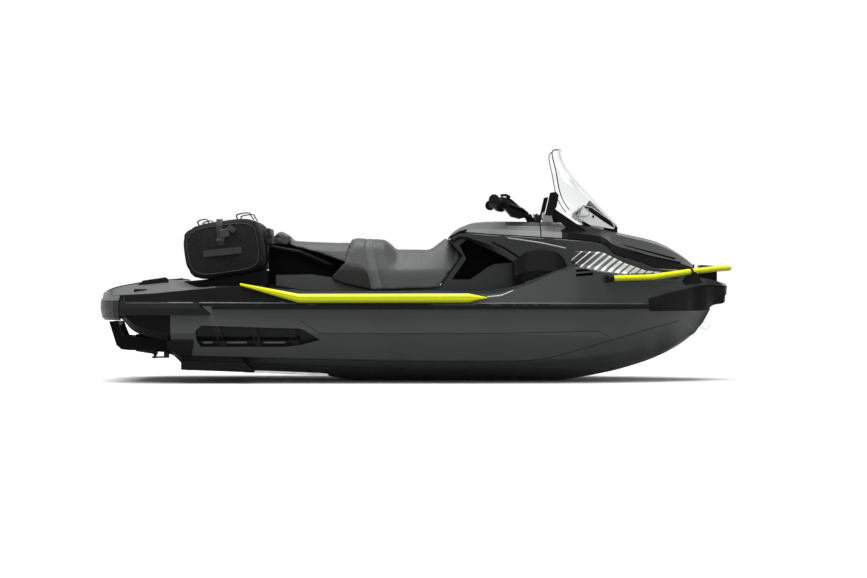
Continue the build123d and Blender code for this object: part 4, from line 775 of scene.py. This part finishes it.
# printed stripes, and painted highlights: thin pale lines on the edges where mouldings meet
both_sides("flank_stripes", [(842, 702), (985, 698), (1104, 640), (1225, 598), (1330, 590)],
           [(808, 660), (846, 622), (985, 594), (1100, 582), (1330, 584)],
           "stripes", FLANKS, columns=70, rows=9, proud=0.6)
both_sides("shoulder_glint", [(366, 462), (440, 470), (506, 496)], [(366, 454), (440, 461), (502, 488)],
           "painted_glint", SHELL, columns=24, proud=2.0)
both_sides("wing_glint", [(474, 776), (560, 765), (664, 749), (791, 721)],
           [(480, 770), (560, 758), (664, 741), (791, 714)],
           "painted_glint", BODY_SIDE, columns=28, proud=1.2)
# dark lines of the hull: painted shade along its chine, strake and side creases
hull_crease_shade("chine_line", [(-1180, 142), (-464, 127), (14, 116), (437, 114), (650, 129), (812, 165),
                         (976, 214), (1196, 274), (1416, 330)], 3.5)
hull_crease_shade("strake_line", [(-880, 100), (-464, 87), (14, 72)], 3)
hull_crease_shade("side_line", [(-617, 337), (-560, 300), (-501, 271), (-300, 268), (435, 269), (900, 278),
                        (961, 277), (1024, 248)], 3)
# joint of the stern rail; painted shade in the slots of the hull vents, and painted highlights on their lips
both_sides("rail_seam", [(-1146, 414), (-1090, 364)], [(-1137, 414), (-1081, 364)],
           "matt_black", SHELL, columns=16, proud=0.6)
both_sides("vent_slot_shade", [(-1160, 250), (-620, 246)], [(-1160, 226), (-620, 230)],
           "matt_black", VENTS, proud=0.5)
for n, (x0, x1) in enumerate(((-1130, -1085), (-1008, -905), (-812, -700))):
    both_sides(f"vent_lip_{n}", [(x0 - 6, 221), (x1 + 6, 222)], [(x0, 211), (x1, 212)],
               "grey_plate_and_lip_highlight", VENTS, columns=10, proud=1.0)
# painted shade in the groove below the body's wing, and a painted highlight along the bond
# the groove below the wing is a dark strip of painted shade
both_sides("wing_groove_shade", [(398, 756), (470, 722), (556, 665)], [(398, 746), (470, 710), (556, 652)],
           "matt_black", BODY_SIDE, columns=28)
both_sides("rail_highlight", [(-1540, 433), (-800, 430), (600, 428), (1220, 426)],
           [(-1540, 424), (-800, 421), (600, 419), (1220, 417)], "painted_highlight_grey", SHELL, columns=70)


# ---------------------------------------------------------------- edges of the clear screen
SCREEN_SHEET = 0.012  # a ray that goes farther than this through the screen ran along its edge
RIM_HEIGHTS = range(930, 1262, 14)
RIM_TOP = at(0, 1262).z
screen = NODES["windshield"]
screen_tree = surface_of("windshield")
screen.data.materials.append(MATERIALS["screen_edge"])


def rear_edge(node, h, side):
    """The aftmost point of a node at a height, on one side."""
    data, level = NODES[node].data, at(0, h).z
    best = None
    for edge in data.edges:
        a, b = (data.vertices[i].co for i in edge.vertices)
        if (a.z - level) * (b.z - level) > 0 or a.z == b.z:
            continue
        place = a.lerp(b, (level - a.z) / (b.z - a.z))
        if place.y * side > 0 and (best is None or place.x < best.x):
            best = place
    return best


for face in screen.data.polygons:
    middle = screen.matrix_world @ face.center
    through = screen_tree.ray_cast(middle - face.normal * 0.0003, -face.normal)[3]
    if through is None or through > SCREEN_SHEET:
        face.material_index = 1
rims = [[rear_edge("windshield", h, side) for h in RIM_HEIGHTS] for side in (-1, 1)]
# over the top the rim bows forward, by 37.5 mm at the middle
over = [Vector((0.7455 + 0.0375 * (1 - (y / 0.120) ** 2), y, RIM_TOP))
        for y in (k / 100 for k in range(-11, 12, 2))]
cable("screen_rim", rims[0] + over + rims[1][::-1], 0.0026, "screen_edge", "hood", 8)


# ---------------------------------------------------------------- faces of CAD nodes in a second material
def recolour(node, material, choose):
    """Gives the faces of a CAD node that choose(middle, normal) picks a second material."""
    data = NODES[node].data
    data.materials.append(MATERIALS[material])
    for face in data.polygons:
        if choose(face.center, face.normal):
            face.material_index = len(data.materials) - 1


recolour("screen_mount", "pale_plate", lambda p, n: abs(p.y) > 0.1515)
recolour("transom_fittings", "satin_black", lambda p, n: abs(p.y) < 0.2)
# faces of the stern deck that look up are painted paler, and the stern cap's sides darker: painted light and
# shade from above
recolour("deck", "grain_lit_top", lambda p, n: p.x < at(-1080, 0).x and n.z > 0.6 and p.z > at(0, 470).z)
recolour("stern_cap", "grain_mid", lambda p, n: n.z < 0.45)
recolour("deck", "grain_black", lambda p, n: p.x < 0.1 and abs(n.y) > 0.8 and p.z > at(0, 430).z)
recolour("deck", "matt_black", lambda p, n: 0.8 < p.x < 1.0 and abs(n.y) > 0.99 and abs(p.y) < 0.481)
recolour("deck", "grain_dark", lambda p, n: -1.0 < p.x < 0.5 and n.z > 0.5)
recolour("deck", "rubber", lambda p, n: abs(n.y) > 0.8 and p.z < at(0, 424).z and abs(p.y) > 0.45)
recolour("dash", "dash_silver", lambda p, n: abs(n.y) > 0.8)
recolour("console", "dash_silver", lambda p, n: p.x < 0.775 and abs(n.y) > 0.8)
recolour("dash", "dash_top", lambda p, n: n.z > 0.6 and p.x > 0.47)
recolour("dash", "grain_light", lambda p, n: n.z > 0.6 and p.x < 0.47)
recolour("console", "dash_top", lambda p, n: n.z > 0.6 and p.x < 0.775)
# the recess below the body's wing is painted matt black as painted shade; faces on the body's middle forward
# of 0.1 m turn black with it
recolour("centre_body", "matt_black", lambda p, n: p.x > 0.1 and abs(p.y) < 0.195)
# the hood's top faces forward of 0.98 m get the painted highlight
recolour("hood", "hood_top_highlight", lambda p, n: n.z > 0.6 and p.x > 0.98)
recolour("hood", "satin_black", lambda p, n: p.x < 0.98)
recolour("seat_base", "matt_black", lambda p, n: abs(p.y) < 0.2 and n.z < 0.6)


# ---------------------------------------------------------------- clamps, brackets, gauge, mirrors, beads
for word, side in SIDES:
    bend, front = at(1455, 592, side * 262), at(1620, 610, side * 130)
    ahead = (front - bend).normalized()
    cable(f"hoop_clamp_{word}", [bend + ahead * d for d in (0.012, 0.014, 0.026, 0.028)],
          0.0188, "rubber", "craft", 28)

MOUNT = surface_of("screen_mount")
for word, side in SIDES:
    laid(f"bracket_seal_{word}", [(893, 954), (943, 943), (1048, 870), (1065, 841)],
         [(893, 951), (943, 914), (1036, 850), (1064, 833)], "rubber", "hood", MOUNT, 30, side=side)
    laid(f"bracket_tail_{word}", [(855, 916), (896, 951)], [(858, 900), (872, 892)],
         "grey_plate_and_lip_highlight", "hood", MOUNT, 8, side=side)
    cable(f"bracket_screw_{word}", [at(952, 895, side * y) for y in (158.5, 161, 162)],
          0.0062, "rubber", "hood", 24)

block("gauge_pod", at(657, 887), (0.040, 0.124, 0.054), "grain_dark", "hood", 24, 0.012)
block("gauge_face", at(640, 893), (0.008, 0.104, 0.040), "gauge", "hood", 24, 0.003)
for word, side in SIDES:
    glass = [at(682, 903, side * y) for y in (306, 404)] + [at(706, 1008, side * y) for y in (404, 306)]
    back = Vector((-0.0016, 0, 0))
    made(f"mirror_glass_{word}", [p + back for p in glass] + [p + back * -2 for p in glass],
         [(0, 1, 2, 3), (7, 6, 5, 4), (0, 4, 5, 1), (1, 5, 6, 2), (2, 6, 7, 3), (3, 7, 4, 0)],
         "mirror", "hood", smooth=False)
    bead = [at(166, 764, side * 199.5), at(241, 680, side * 199.5), at(122, 514, side * 199.5)]
    cable(f"seat_edge_bead_{word}", [bead[0].lerp(bead[1], k / 8) for k in range(9)]
          + [bead[1].lerp(bead[2], k / 8) for k in range(1, 9)], 0.0028, "grain_dark", "craft", 8)


# ---------------------------------------------------------------- floor, light and camera
KEEL_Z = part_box("hull")[0].z
FLOOR_GAP = 0.0005
FLOOR_REACH = 40
CAMERA_AIM = Vector((0.085, 0, 0.2405))
CAMERA_DISTANCE = 13.2
SENSOR_WIDTH = 0.036
VIEW_WIDTH = 4.766  # of the plane on the centreline


def backdrop_share(tree):
    """1 for a ray that sees the background: from the camera, off a gloss, or through glass."""
    path = tree.nodes.new("ShaderNodeLightPath")
    total = None
    for ray in ("Is Camera Ray", "Is Glossy Ray", "Is Transmission Ray"):
        if total is None:
            total = path.outputs[ray]
            continue
        largest = tree.nodes.new("ShaderNodeMath")
        largest.operation = "MAXIMUM"
        tree.links.new(total, largest.inputs[0])
        tree.links.new(path.outputs[ray], largest.inputs[1])
        total = largest.outputs[0]
    return total


def make_world(light):
    """White to the eye, and a plain even light on the object."""
    world = bpy.data.worlds.new("studio")
    bpy.context.scene.world = world
    world.use_nodes = True
    tree = world.node_tree
    background = tree.nodes["Background"]
    background.inputs["Color"].default_value = (1, 1, 1, 1)
    strength = tree.nodes.new("ShaderNodeMapRange")
    strength.inputs["To Min"].default_value = light
    strength.inputs["To Max"].default_value = 1.0
    tree.links.new(backdrop_share(tree), strength.inputs["Value"])
    tree.links.new(strength.outputs["Result"], background.inputs["Strength"])


def make_floor(bounce):
    """White to the eye. bounce is the colour that lights the object from below."""
    mesh = bpy.data.meshes.new("floor")
    z = KEEL_Z - FLOOR_GAP
    corners = [(x * FLOOR_REACH, y * FLOOR_REACH, z) for x, y in ((-1, -1), (1, -1), (1, 1), (-1, 1))]
    mesh.from_pydata(corners, [], [(0, 1, 2, 3)])
    floor = bpy.data.objects.new("floor", mesh)
    bpy.context.scene.collection.objects.link(floor)
    s = Surface("floor", Roughness=1.0, Specular_IOR_Level=0.0)
    s.join(s.mixed(backdrop_share(s.tree), bounce, "f4f4f4"), s.shader.inputs["Base Color"])
    mesh.materials.append(s.material)


def make_sun(name, direction, strength, spread):
    """A lamp so far off that it lights every place alike. direction is where its light goes."""
    data = bpy.data.lights.new(name, "SUN")
    data.energy = strength
    data.angle = math.radians(spread)
    sun = bpy.data.objects.new(name, data)
    sun.rotation_euler = Vector(direction).to_track_quat("-Z", "Y").to_euler()
    bpy.context.scene.collection.objects.link(sun)


def make_camera():
    """Square on to the starboard side."""
    data = bpy.data.cameras.new("camera")
    data.sensor_width = SENSOR_WIDTH * 1000
    data.lens = SENSOR_WIDTH * 1000 * CAMERA_DISTANCE / VIEW_WIDTH
    data.clip_end = 200
    camera = bpy.data.objects.new("camera", data)
    camera.location = CAMERA_AIM - Vector((0, CAMERA_DISTANCE, 0))
    camera.rotation_euler = (math.radians(90), 0, 0)
    bpy.context.scene.collection.objects.link(camera)
    bpy.context.scene.camera = camera


make_world(light=0.25)
make_floor(bounce="5a5a5a")
make_sun("top_light", (0.1, 0.3, -1), 4.0, 50)
make_sun("side_light", (-0.3, 1, -0.4), 0.5, 40)
make_camera()
bpy.context.scene.view_settings.view_transform = "Standard"

bpy.context.view_layer.update()
